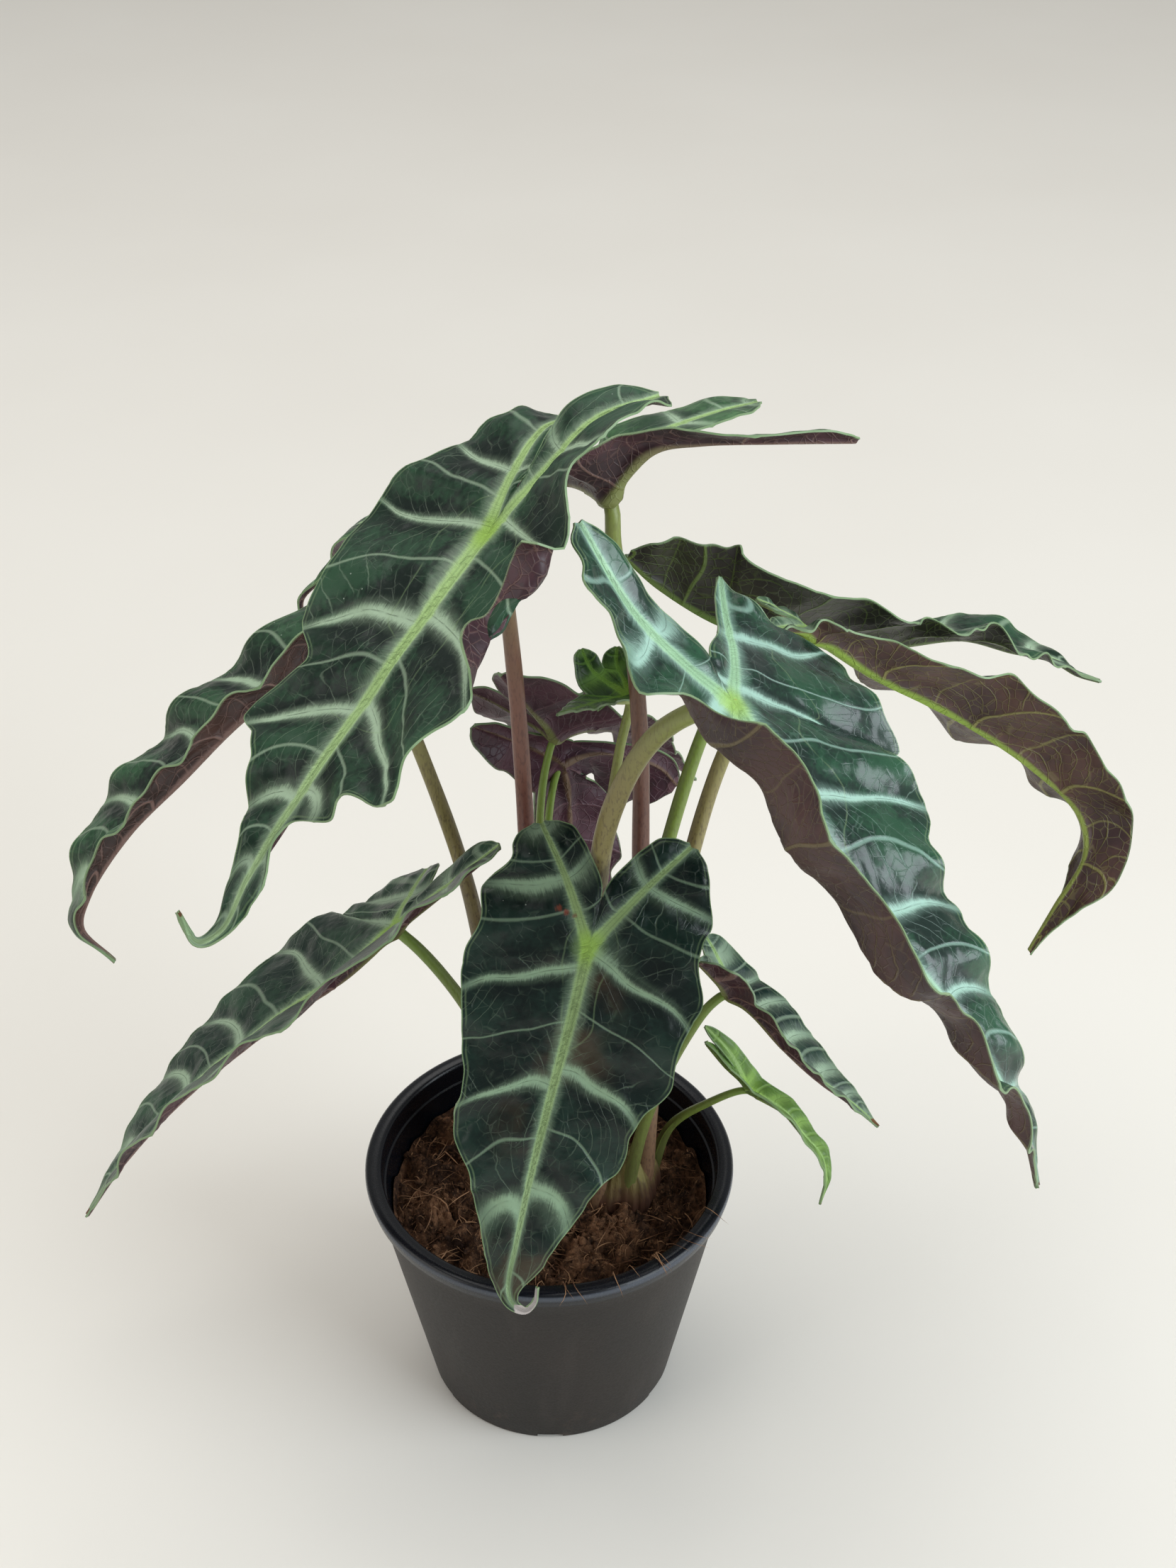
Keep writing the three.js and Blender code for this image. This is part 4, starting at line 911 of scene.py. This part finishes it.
def leafTop(name, changes):
    marks = topMarks
    colours = {**leafLooks, **changes}
    look = Look(name)
    phase, step, fromRib, edge, ribHalf, home = leafFields(look)
    fromVein = look.fromWhole(phase) * step
    wander, fine, patch = look.noise(130, 3), look.noise(420, 3), look.noise(34, 4)
    # short hairs stand square to the veins and to the rib
    across = look.add("CombineXYZ", {}, {"X": fromRib * 1.1, "Y": phase * 3, "Z": 0.0})
    along = look.add("CombineXYZ", {}, {"X": phase * step * 0.8, "Y": fromRib * 0.12, "Z": 4.0})
    veinHair = look.noise(1.3, 3, 0.7, across) - 0.5
    ribHair = look.noise(1.3, 3, 0.7, along) - 0.5
    feather = (look.noise(620, 3, 0.6) - 0.5) * 1.2 + (wander - 0.5) * 0.8 + veinHair * 3
    taper = look.ease(fromRib, 0, 55, 1.35, 0.55)
    vein = 1 - look.ease(fromVein / taper + feather, 0.6, 2.8)
    halo = 1 - look.ease(fromVein / taper + feather * 0.8, 1, 5.5)
    thread = (1 - look.ease(fromVein + (wander - 0.5) * 1.2, 0.05, 0.3)) * look.ease(wander, 0.35, 0.6)
    rib = 1 - look.ease(fromRib / ribHalf + ribHair * 0.9, 0.6, 1.25)
    ribHalo = 1 - look.ease(fromRib / ribHalf + ribHair * 1.6, 0.8, 2.4)
    stripe = look.fromWhole(fromRib / ribHalf * 1.5 + 0.5 + (wander - 0.5) * 0.5)
    # a minor vein halfway between two main ones, and threads from one to the next
    fromMinor = fromMinorVein(look, phase, step)
    minor = (1 - look.ease(fromMinor + feather * 0.12, 0.15, 1.1)) * look.ease(fromVein, 2, 6)
    side = look.fromWhole(look.field("arcs") + (wander - 0.5) * 0.5) * 9
    sideVein = (1 - look.ease(side, 0.06, 0.5)) * look.ease(fromVein, 0.5, 3)
    sideVein = sideVein * look.ease(look.noise(40, 2), 0.42, 0.62)
    rim = look.fromWhole((edge - 1.8 + (wander - 0.5) * 0.6) / 40) * 40
    rimVein = (1 - look.ease(rim, 0.15, 0.6)) * look.ease(look.noise(60, 2), 0.3, 0.5)
    net = look.cells(190, "DISTANCE_TO_EDGE")
    netLine = (1 - look.ease(net, 0.0, 0.06)) * look.ease(wander, 0.4, 0.65)
    # painted shade: darkest beside the veins and the rib, in the hollows of the quilting; lighter towards the
    # margin
    veinHollowShade = look.ease(fromVein, 1, 3) * (1 - look.ease(fromVein, 5, 13))
    veinHollowShade = veinHollowShade * look.ease(fromRib / ribHalf, 1.5, 3)
    lighter = look.ease(patch + (fine - 0.5) * 0.35 - veinHollowShade * 0.14, 0.36, 0.64) * 0.75
    lighter = lighter + (1 - look.ease(edge, 0, 18)) * 0.25
    warm = look.ease(look.noise(28, 3), 0.55, 0.72) * (1 - look.ease(fromRib, 8, 32))
    veinShare = vein * look.ease(edge, 0, 12, 0.25, marks["vein"])
    veinShare = veinShare * look.ease(veinHair + fine * 0.2, -0.25, 0.05, 0.75, 1.0)
    ribColour = look.cover(
        colours["rib"],
        (look.ease(home, 40, 220) * 0.6, colours["vein"]),
        (look.ease(fromRib / ribHalf, 0.4, 1.1) * marks["ribEdge"], colours["vein"]),
        ((1 - look.ease(stripe, 0.05, 0.25)) * marks["stripe"], colours["mid"]),
        ((1 - look.ease(home, 1, 12)) * marks["ribGlow"], colours["glow"]),
    )
    specks = (1 - look.ease(look.cells(160), 0.03, 0.06)) * look.ease(look.noise(17, 2), 0.55, 0.65)
    dryFrom = 1 - colours["dryTip"]
    tip = look.ease(look.field("at") + (wander - 0.5) * 0.03, dryFrom, dryFrom + 0.005)
    colour = look.cover(
        colours["dark"],
        (lighter, colours["mid"]),
        (warm * colours["warmth"], tint(84, 62, 42)),
        (netLine * marks["net"], colours["vein"]),
        (sideVein * marks["side"], colours["vein"]),
        (minor * marks["minor"], colours["vein"]),
        (look.most(halo * marks["halo"], ribHalo * marks["ribHalo"]), colours["vein"]),
        (veinShare, colours["vein"]),
        (thread * marks["thread"], colours["dark"]),
        (rib * marks["rib"], ribColour),
        ((1 - look.ease(home, 2, 9)) * marks["glow"], colours["glow"]),
        (rimVein * marks["rimVein"], colours["margin"]),
        ((1 - look.ease(edge, 0.2, 0.7)) * marks["rim"], colours["margin"]),
        (specks * marks["specks"], tint(190, 200, 190)),
        (tip, colours["dry"]),
    )
    for place, radius, stain in colours["stains"]:
        gone = look.add("VectorMath", dict(operation="DISTANCE"), {0: look.place(), 1: place}, out="Value")
        colour = look.mix(1 - look.ease(gone / radius + feather * 0.3, 0.3, 1.0), colour, stain)
    height = fine * 0.06 + look.noise(75, 2) * 0.9 - sideVein * 0.1 - netLine * 0.06 - vein * 0.12
    height = height - minor * 0.15
    normal = look.bump(height - thread * 0.15 + ribHair * rib * 0.5, 0.0024, 0.8)
    rough = colours["gloss"] + (fine - 0.5) * 0.14 + (patch - 0.5) * 0.16 + look.most(vein, rib) * 0.2
    return look.finish(baseColor=colour, roughness=rough, normal=normal, coatWeight=colours["wax"],
                       coatRoughness=0.3, specularIorLevel=colours["shine"])


def leafUnder(name, changes):
    marks = underMarks
    colours = {**leafLooks, **changes}
    look = Look(name)
    phase, step, fromRib, edge, ribHalf, home = leafFields(look)
    fromVein = look.fromWhole(phase) * step
    wander = look.noise(130, 3)
    core = 1 - look.ease(fromVein, 0.3, 0.9)
    rib = 1 - look.ease(fromRib / ribHalf, 0.25, 0.75)
    side = look.fromWhole(look.field("arcs") + (wander - 0.5) * 0.4) * 7
    sideVein = (1 - look.ease(side, 0.08, 0.45)) * look.ease(fromVein, 0.5, 3)
    net = look.cells(210, "DISTANCE_TO_EDGE")
    netLine = 1 - look.ease(net, 0.0, 0.07)
    patch = look.noise(40, 4)
    fine = look.noise(420, 3)
    minor = (1 - look.ease(fromMinorVein(look, phase, step), 0.15, 0.7)) * look.ease(fromVein, 2, 5)
    nearHome = 1 - look.ease(home, 2, colours["ribFade"])
    colour = look.cover(
        colours["underDark"],
        (look.ease(patch + (fine - 0.5) * 0.3, 0.3, 0.7), colours["under"]),
        (netLine * marks["net"], colours["underVein"]),
        (sideVein * marks["side"], colours["underVein"]),
        (look.most(core * marks["core"], minor * marks["minor"]), colours["underVein"]),
        (rib * marks["rib"], look.mix(nearHome, colours["underVein"], colours["underRib"])),
        ((1 - look.ease(edge, 0.3, 0.9)) * marks["rim"], colours["margin"]),
    )
    height = fine * 0.12 + look.noise(75, 2) * 0.5 + sideVein * 0.3 + netLine * 0.15 + core * 0.3
    rough = 0.46 + (fine - 0.5) * 0.2
    return look.finish(baseColor=colour, roughness=rough, normal=look.bump(height, 0.0016, 0.7),
                       specularIorLevel=0.45)


def leafMargin(name, changes):
    colours = {**leafLooks, **changes}
    look = Look(name)
    patch = look.noise(120, 2)
    colour = look.mix(patch, colours["margin"], look.mix(0.5, colours["margin"], colours["mid"]))
    return look.finish(baseColor=colour, roughness=0.4 + patch * 0.1)


# Petiole colours

stalks = dict(
    petioleRed=dict(low=tint(112, 62, 60), high=tint(124, 82, 68), top=tint(122, 110, 66),
                    fleck=tint(70, 38, 40),
                    flecks=0.5),
    petioleTopGreen=dict(low=tint(104, 58, 58), high=tint(116, 80, 66), top=tint(124, 136, 66),
                         fleck=tint(66, 38, 40), flecks=0.5),
    petioleOlive=dict(low=tint(126, 98, 74), high=tint(142, 132, 82), top=tint(150, 162, 86),
                      fleck=tint(80, 58, 50),
                      flecks=0.6),
    petioleGreen=dict(low=tint(98, 104, 56), high=tint(118, 138, 60), top=tint(126, 156, 62),
                      fleck=tint(84, 76, 48),
                      flecks=0.4),
)


def petioleLook(name, colours):
    look = Look(name)
    share, turn = look.field("share"), look.field("turn")
    # short flecks drawn out along the stem
    flecks = look.upright(1100, 2, 0.3)
    patch = look.noise(60, 3)
    fewerAbove = look.ease(share, 0.5, 1.0, 1.0, 0.35)
    sheath = (1 - look.ease(look.size(turn - 0.5), 0.05, 0.2)) * (1 - look.ease(share, 0.3, 0.5))
    colour = look.cover(
        colours["low"],
        (look.ease(share + (patch - 0.5) * 0.3, 0.15, 0.7), colours["high"]),
        (look.ease(share + (patch - 0.5) * 0.1, 0.72, 0.98), colours["top"]),
        (look.ease(flecks, 0.48, 0.68) * colours["flecks"] * fewerAbove, colours["fleck"]),
        (sheath * 0.5, colours["high"]),
    )
    height = flecks * 0.3 + look.upright(400, 2, 0.06) * 0.7
    rough = 0.42 + (patch - 0.5) * 0.15
    return look.finish(baseColor=colour, roughness=rough, normal=look.bump(height, 0.0006, 0.5),
                       coatWeight=0.1, coatRoughness=0.3)


# Pot

potShape = dict(
    height=126, rim=85, base=58, wall=1.6, band=8, collar=8, lift=4, pad=20, foot=6,
    holes=6, holeRadius=4.5, holeCircle=38, notchWidth=12, notchHeight=2.6, sides=160,
)


def between(low, high, steps, first=0):
    # Points on the straight line from one point to another
    shares = [k / steps for k in range(first, steps + 1)]
    return [(low[0] + (high[0] - low[0]) * share, low[1] + (high[1] - low[1]) * share) for share in shares]


def potProfile():
    # Radius and height of the shell, from the middle of the base, over the rim and down inside
    rim, base, pad, lift = (potShape[name] for name in ("rim", "base", "pad", "lift"))
    top, ridge, height = rim - potShape["band"], base - potShape["foot"], potShape["height"]
    collar = height - potShape["collar"]
    points = [(0, 0), (pad - 0.8, 0), (pad, 0.5), (pad + 2, lift), (ridge - 1, lift), (ridge, 0.4),
              (ridge + 0.5, 0), (base - 1.2, 0), (base - 0.4, 0.4), (base, 1.4)]
    points += between((base, 1.4), (rim - 4.6, collar - 1.6), 12, first=1)
    points += [(rim - 4.3, collar - 1.0), (rim - 3.6, collar - 0.7), (rim - 2.2, collar - 0.4),
               (rim - 1.4, collar), (rim - 1.1, collar + 1.2), (rim - 0.6, collar + 3)]
    points += [(rim - 0.3, height - 3.4), (rim - 0.35, height - 2.2), (rim - 0.8, height - 1.1),
               (rim - 1.7, height - 0.4), (rim - 3, height - 0.05), (rim - 4.6, height),
               (rim - 5.8, height - 0.3), (top + 1.2, height - 0.5), (top + 0.4, height - 1.1),
               (top, height - 2.2), (top - 0.3, height - 5), (top - 0.7, collar - 2),
               (top - 1.5, collar - 2.6)]
    inside = lift + potShape["wall"]
    low = (innerRadius(inside + 1), inside + 1)
    points += between((innerRadius(collar - 4) - 0.6, collar - 4), low, 10)
    return points + [(low[0] - 1, inside), (pad + 10, inside), (pad, inside), (0, inside)]


def innerRadius(z):
    p = potShape
    top = p["rim"] - p["band"]
    bottom = p["base"] - p["wall"] - 0.6
    return bottom + (top - bottom) * (z - p["lift"]) / (p["height"] - p["collar"] - p["lift"])


def turned(name, profile, sides):
    # A profile turned round the upright axis, with closed seam and poles
    rows = len(profile) - 1
    piece = addGrid(name, sides, rows)
    turn, along = gridShares(piece, sides, rows)
    radius, height = np.array(profile, float)[np.rint(along * rows).astype(int)].T
    angle = -2 * np.pi * np.where(turn == 1, 0, turn)
    writePlaces(piece, np.stack([radius * np.cos(angle), radius * np.sin(angle), height], axis=1) / 1000)
    mergeDoubles(piece)
    return piece


def cutWith(piece, cutter):
    finishWith(piece, "BOOLEAN", operation="DIFFERENCE", solver="EXACT", object=cutter)
    bpy.data.objects.remove(cutter)


def makePot():
    p = potShape
    pot = turned("potShell", potProfile(), p["sides"])
    faceOutwards(pot)
    for k in range(p["holes"]):
        angle = 2 * math.pi * (k + 0.5) / p["holes"]
        spot = Vector((math.cos(angle), math.sin(angle), 0))
        bpy.ops.object.select_all(action="DESELECT")
        bpy.ops.mesh.primitive_cylinder_add(vertices=24, radius=p["holeRadius"] / 1000, depth=0.03,
                                            location=spot * p["holeCircle"] / 1000)
        cutWith(pot, bpy.context.object)
        bpy.ops.object.select_all(action="DESELECT")
        bpy.ops.mesh.primitive_cube_add(size=1, location=spot * p["base"] / 1000, rotation=(0, 0, angle),
                                        scale=(0.03, p["notchWidth"] / 1000, 2 * p["notchHeight"] / 1000))
        cutWith(pot, bpy.context.object)
    shadeSmooth(pot, 35)
    return pot


# Heights and radii in metres between which one finish gives way to the next; the rim's blue-black and its
# bright outer edge are painted reflection and painted highlight, the inner wall's blue-black is painted shade
potFinish = dict(
    rim=(0.1165, 0.119), innerTaper=0.192, innerWall=(0.0568, 0.0574), floor=(0.01, 0.02), dust=(0.0, 0.04),
    edgeHighlightRadius=(0.0841, 0.0845), edgeHighlightHeight=(0.121, 0.1235),
    wall=tint(27, 23, 20), wallLight=tint(36, 30, 26), streak=tint(60, 54, 50), rimSheenInsideShade=tint(13, 17, 24),
    worn=tint(90, 96, 106), dirt=tint(90, 74, 60),
)


def potLook():
    p = potFinish
    look = Look("matteBlackPlastic")
    z = look.part(look.place(), "Z")
    rim = look.ease(z, *p["rim"])
    radius = (look.part(look.place(), "X") ** 2 + look.part(look.place(), "Y") ** 2) ** 0.5
    # painted shade: the inner wall and floor down in the pot are darkened to blue-black
    inside = (1 - look.ease(radius - z * p["innerTaper"], *p["innerWall"])) * look.ease(z, *p["floor"])
    rim = look.most(rim, inside)
    grain = look.noise(900, 3)
    cloud = look.noise(22, 4)
    streaks = look.upright(55, 3, 0.12)
    dust = look.ease(look.noise(130, 5, 0.7), 0.52, 0.72) * (1 - look.ease(z, *p["dust"])) * 0.35
    # painted highlight: a thin pale blue line round the rim's outer edge, where the window light catches it
    worn = look.ease(radius, *p["edgeHighlightRadius"]) * look.ease(z, *p["edgeHighlightHeight"])
    colour = look.cover(
        p["wall"],
        (look.ease(cloud, 0.3, 0.7), p["wallLight"]),
        (look.ease(streaks, 0.55, 0.7) * 0.2, p["streak"]),
        # blue-black over the rim band, where its blue tint is a painted reflection of the cool window light,
        # and inside the pot, where it is painted shade
        (rim * 0.95, p["rimSheenInsideShade"]),
        (worn * 0.6, p["worn"]),
        (dust, p["dirt"]),
    )
    rough = 0.5 + (grain - 0.5) * 0.2 + (cloud - 0.5) * 0.1 - rim * 0.24
    scratch = look.upright(500, 2, 0.05)
    height = (grain * 0.6 + scratch * 0.25) * (1 - rim * 0.85)
    return look.finish(baseColor=colour, roughness=rough, specularIorLevel=0.35,
                       normal=look.bump(height, 0.0003, 0.5))


# Soil

soilShape = dict(level=106, lump=3.5, columns=220, rows=80, rough=8, fibres=900, crumbs=650, spilled=14)


def soilHeight(x, y):
    r = np.hypot(x, y)
    lumps = (np.sin(x * 0.16 + 1.3) * np.cos(y * 0.19 - 0.4) + 0.6 * np.sin(x * 0.31 - y * 0.27)
             + 0.5 * np.cos(y * 0.43 + x * 0.12))
    heap = 4 * np.exp(-(((r - 10) / 34) ** 2))
    return soilShape["level"] + soilShape["lump"] * 0.5 * lumps + heap - 3 * (r / 76) ** 6


def clods(x, y):
    # Lumps and pits of peat in millimetres
    spots = [Vector((a * 0.1, b * 0.1, 3.1)) for a, b in zip(np.atleast_1d(x), np.atleast_1d(y))]
    wave = np.array([noise.turbulence(spot, 5, False, noise_basis="PERLIN_ORIGINAL", amplitude_scale=0.6,
                                      frequency_scale=2.2) for spot in spots])
    return (wave - 0.52) * soilShape["rough"]


def makeStrand():
    # One fibre, straight, a unit long, later bent and thinned in its copies
    strand = addGrid("strand", 4, 6)
    turn, share = gridShares(strand, 4, 6)
    angle = 2 * np.pi * np.where(turn == 1, 0, turn)
    thin = np.maximum(1 - share ** 3, 0.05)
    writePlaces(strand, np.stack([thin * np.cos(angle), thin * np.sin(angle), share], axis=1))
    mergeDoubles(strand)
    fillEnds(strand)
    return strand


def copyOf(piece, places):
    twin = piece.copy()
    twin.data = piece.data.copy()
    scene.collection.objects.link(twin)
    writePlaces(twin, places)
    return twin


def bendStrand(shape, start, heading, length, thickness, lift, sway):
    # The strand laid along a bent line from its start, rising by lift in its middle
    share = shape[:, 2]
    forward = Vector((math.cos(heading), math.sin(heading), 0))
    aside = Vector((-forward.y, forward.x, 0))
    line = (np.outer(share * length, forward) + np.outer(sway * np.sin(share * 4 + length) * length, aside)
            + np.outer(lift * np.sin(np.pi * share), (0, 0, 1)))
    body = np.outer(shape[:, 0] * thickness, aside) + np.outer(shape[:, 1] * thickness, (0, 0, 1))
    return np.array(start) + line + body


def makeFibres():
    strand = makeStrand()
    shape = readPlaces(strand)
    twins = []
    for _ in range(soilShape["fibres"]):
        r, turn = 73 * chance.random() ** 0.55, 2 * math.pi * chance.random()
        x, y = r * math.cos(turn), r * math.sin(turn)
        z = float(soilHeight(x, y) + clods(x, y)[0])
        length = 4 + 22 * chance.random() ** 2.5
        heading = 2 * math.pi * chance.random()
        end = math.hypot(x + length * math.cos(heading), y + length * math.sin(heading))
        if end > 74:
            heading = turn + math.pi + chance.normal() * 0.7
        lift = 0.5 + 2.5 * chance.random() ** 2
        thickness = 0.12 + 0.3 * chance.random() ** 2
        places = bendStrand(shape, (x, y, z - 0.3), heading, length, thickness, lift, chance.normal() * 0.13)
        twins.append(copyOf(strand, places / 1000))
    for _ in range(soilShape["spilled"]):
        # a few lie over the rim at the front right
        turn = math.radians(-52 + 17 * chance.normal())
        x, y = 70 * math.cos(turn), 70 * math.sin(turn)
        length = 15 + 8 * chance.random()
        heading = turn + 0.2 * chance.normal()
        thickness = 0.14 + 0.12 * chance.random()
        places = bendStrand(shape, (x, y, 108), heading, length, thickness, 0, chance.normal() * 0.1)
        over = smooth(np.hypot(places[:, 0], places[:, 1]), 69, 77)
        places[:, 2] += over * (18.6 + 0.8 * chance.random())
        twins.append(copyOf(strand, places / 1000))
    bpy.data.objects.remove(strand)
    fibres = join(twins, "soilFibres")
    shadeSmooth(fibres)
    return fibres


def makeCrumbs():
    bpy.ops.object.select_all(action="DESELECT")
    bpy.ops.mesh.primitive_ico_sphere_add(subdivisions=1, radius=1)
    crumb = bpy.context.object
    shape = readPlaces(crumb)
    twins = []
    for _ in range(soilShape["crumbs"]):
        r, turn = 73 * chance.random() ** 0.5, 2 * math.pi * chance.random()
        x, y = r * math.cos(turn), r * math.sin(turn)
        z = float(soilHeight(x, y) + clods(x, y)[0])
        size = 0.7 + 2.2 * chance.random() ** 3
        uneven = shape * (1 + 0.35 * chance.normal(size=(len(shape), 1))) * size * np.array([1, 1, 0.75])
        twins.append(copyOf(crumb, (uneven + np.array([x, y, z + 0.2 * size])) / 1000))
    bpy.data.objects.remove(crumb)
    crumbs = join(twins, "soilCrumbs")
    finishWith(crumbs, "SUBSURF", levels=1, render_levels=1)
    shadeSmooth(crumbs)
    return crumbs


def fibreLook():
    look = Look("peatFibre")
    patch = look.noise(90, 3)
    grain = look.noise(900, 2)
    colour = look.mix(look.ease(patch, 0.35, 0.65), tint(106, 72, 50), tint(182, 140, 104))
    return look.finish(baseColor=colour, roughness=0.8 + (grain - 0.5) * 0.2, specularIorLevel=0.3)


def makeSoil():
    columns, rows = soilShape["columns"], soilShape["rows"]
    soil = addGrid("soilSurface", columns, rows)
    turn, along = gridShares(soil, columns, rows)
    angle = 2 * np.pi * np.where(turn == 1, 0, turn)
    edge = innerRadius(100) - 0.9
    radius = edge * along ** 0.8
    x, y = radius * np.cos(angle), radius * np.sin(angle)
    z = soilHeight(x, y)
    z = z + clods(x, y) * (1 - smooth(along, 0.97, 1))
    writePlaces(soil, np.stack([x, y, z], axis=1) / 1000)
    mergeDoubles(soil)
    openAll(soil)
    # the last ring turns down along the wall and is closed underneath
    bpy.ops.mesh.region_to_loop()
    bpy.ops.mesh.extrude_region_move(TRANSFORM_OT_translate=dict(value=(0, 0, -0.012)))
    bpy.ops.transform.resize(value=(0.97, 0.97, 1), center_override=(0, 0, 0.1))
    bpy.ops.mesh.edge_face_add()
    bpy.ops.object.mode_set(mode="OBJECT")
    faceOutwards(soil)
    shadeSmooth(soil, 60)
    return soil


def soilLook():
    look = Look("fibrousPeat")
    clump = look.noise(60, 6, 0.65)
    grain = look.noise(500, 5, 0.7)
    strands = look.noise(300, 3, 0.6, warp=1.5)
    # painted shade: the peat is darker where the clump and grain noise are low, which is where the bump
    # sinks, over its own varied tone
    colour = look.mix(look.ease(clump + (grain - 0.5) * 0.6, 0.35, 0.7), tint(50, 33, 24), tint(136, 98, 70))
    colour = look.mix(look.ease(strands, 0.6, 0.68) * 0.6, colour, tint(180, 138, 100))
    height = grain * 0.6 + clump * 0.5 + strands * 0.4
    rough = 0.92 + (grain - 0.5) * 0.1
    return look.finish(baseColor=colour, roughness=rough, normal=look.bump(height, 0.003, 0.9),
                       specularIorLevel=0.25)


# Crowns

crownShape = dict(
    left=dict(centre=(-7, 5), radius=19, top=134, node="crown_left"),
    right=dict(centre=(33, 3), radius=18, top=132, node="crown_right"),
)


def makeCrown(name, shape):
    level, (cx, cy), radius, top = soilShape["level"], shape["centre"], shape["radius"], shape["top"]
    # shares of the radius, and heights
    profile = [(0, 96), (0.8, 96), (0.97, level - 3), (1, level), (0.98, level + 5), (0.94, level + 10),
               (0.87, level + 15), (0.8, top - 8), (0.72, top - 4), (0.62, top - 1), (0.45, top),
               (0.2, top - 2), (0, top - 3)]
    crown = turned(name, [(radius * share, height) for share, height in profile], 96)
    finishWith(crown, "SUBSURF", levels=2, render_levels=2)
    places = readPlaces(crown) * 1000
    angle = np.arctan2(places[:, 1], places[:, 0])
    lift = smooth(places[:, 2], level, top)
    fold = (1 + 0.05 * np.sin(angle * 5 + 1 + places[:, 2] * 0.05) + 0.025 * np.sin(angle * 13)
            + 0.015 * np.sin(angle * 29))
    places[:, :2] *= fold[:, None]
    outside = smooth(np.hypot(places[:, 0], places[:, 1]), 4, 12)
    places[:, 2] -= 6 * lift * (0.5 + 0.5 * np.sin(angle * 3 + 2)) * outside
    places[:, 0] += cx
    places[:, 1] += cy
    writePlaces(crown, places / 1000)
    faceOutwards(crown)
    shadeSmooth(crown, 60)
    return crown


def crownLook():
    look = Look("paperySheath")
    z = look.part(look.place(), "Z")
    strands = look.upright(420, 3, 0.12)
    patch = look.noise(80, 4)
    colour = look.mix(look.ease(z + (patch - 0.5) * 0.02, 0.108, 0.13), tint(84, 54, 38), tint(124, 116, 62))
    colour = look.mix(look.ease(strands, 0.5, 0.65) * 0.5, colour, tint(60, 36, 28))
    return look.finish(baseColor=colour, roughness=0.7 + (patch - 0.5) * 0.2,
                       normal=look.bump(strands, 0.0015, 0.8))


# Floor and light

def makeStage():
    bpy.ops.object.select_all(action="DESELECT")
    bpy.ops.mesh.primitive_plane_add(size=8, location=(0, 0, -0.0002))
    floor = bpy.context.object
    floor.name = "paleFloor"
    look = Look("paleFloorFinish")
    cloud = look.noise(3, 3)
    colour = look.mix(cloud, tint(226, 222, 214), tint(232, 229, 222))
    floor.data.materials.append(look.finish(baseColor=colour, roughness=0.75 + (cloud - 0.5) * 0.1))


def addLamp(name, place, aim, size, power, colour):
    bpy.ops.object.light_add(type="AREA", location=place)
    lamp = bpy.context.object
    lamp.name = name
    lamp.data.size = size
    lamp.data.energy = power
    lamp.data.color = colour
    lamp.rotation_euler = (Vector(aim) - Vector(place)).to_track_quat("-Z", "Y").to_euler()


def makeLight():
    middle = (0, 0, 0.3)
    addLamp("windowLight", (1.9, -1.0, 1.2), middle, 1.8, 50, (0.86, 0.94, 1.0))
    addLamp("skyLight", (-0.2, 0.5, 3.2), middle, 3.2, 66, (1.0, 0.985, 0.96))
    addLamp("fillLight", (-2.0, -0.8, 1.2), middle, 1.6, 12, (1.0, 0.97, 0.93))
    world = bpy.data.worlds.new("softRoom")
    world.use_nodes = True
    world.node_tree.nodes["Background"].inputs["Color"].default_value = (0.96, 0.96, 0.94, 1)
    world.node_tree.nodes["Background"].inputs["Strength"].default_value = 0.36
    scene.world = world
    scene.view_settings.view_transform = "Standard"


# The whole plant

setCamera()
makeStage()
makeLight()
print("camera, floor and light are set")

stalkMaterials = {name: petioleLook(name, colours) for name, colours in stalks.items()}
slots = dict(petioleRed="stalk_red", petioleOlive="stalk_olive", petioleGreen="stalk_green")
axes = {shape["node"]: shape["centre"][0] for shape in crownShape.values()}
for leaf in leaves:
    leaf["axis"] = axes[leaf["crown"]]
    name = leaf["name"]
    sheet = leafSheet(leaf, leaf["fine"])
    changes = leaf.get("looks", {})
    number = name[-2:]
    addSlots(sheet, [leafTop("upperFace" + number, changes), leafUnder("underFace" + number, changes),
                     leafMargin("margin" + number, changes)])
    thicken(sheet)
    dress(sheet, "blade", name + "_blade")
    stem = stemPiece(leaf)
    addSlots(stem, [stalkMaterials[leaf.get("stem", leaf["stalk"])]])
    dress(stem, slots[leaf["stalk"]], name + "_petiole")
print("leaves are made")

pot = makePot()
addSlots(pot, [potLook()])
dress(pot, "pot", "pot")
print("pot is made")
soil = makeSoil()
crumbs = makeCrumbs()
peat = soilLook()
addSlots(soil, [peat])
addSlots(crumbs, [peat])
dress(soil, "soil", "soil")
dress(crumbs, "soil")
fibres = makeFibres()
addSlots(fibres, [fibreLook()])
dress(fibres, "soil")
print("soil is made")
crownMaterial = crownLook()
for side, shape in crownShape.items():
    crown = makeCrown("crown" + side.title(), shape)
    addSlots(crown, [crownMaterial])
    dress(crown, "crown", shape["node"])
print("crowns are made")
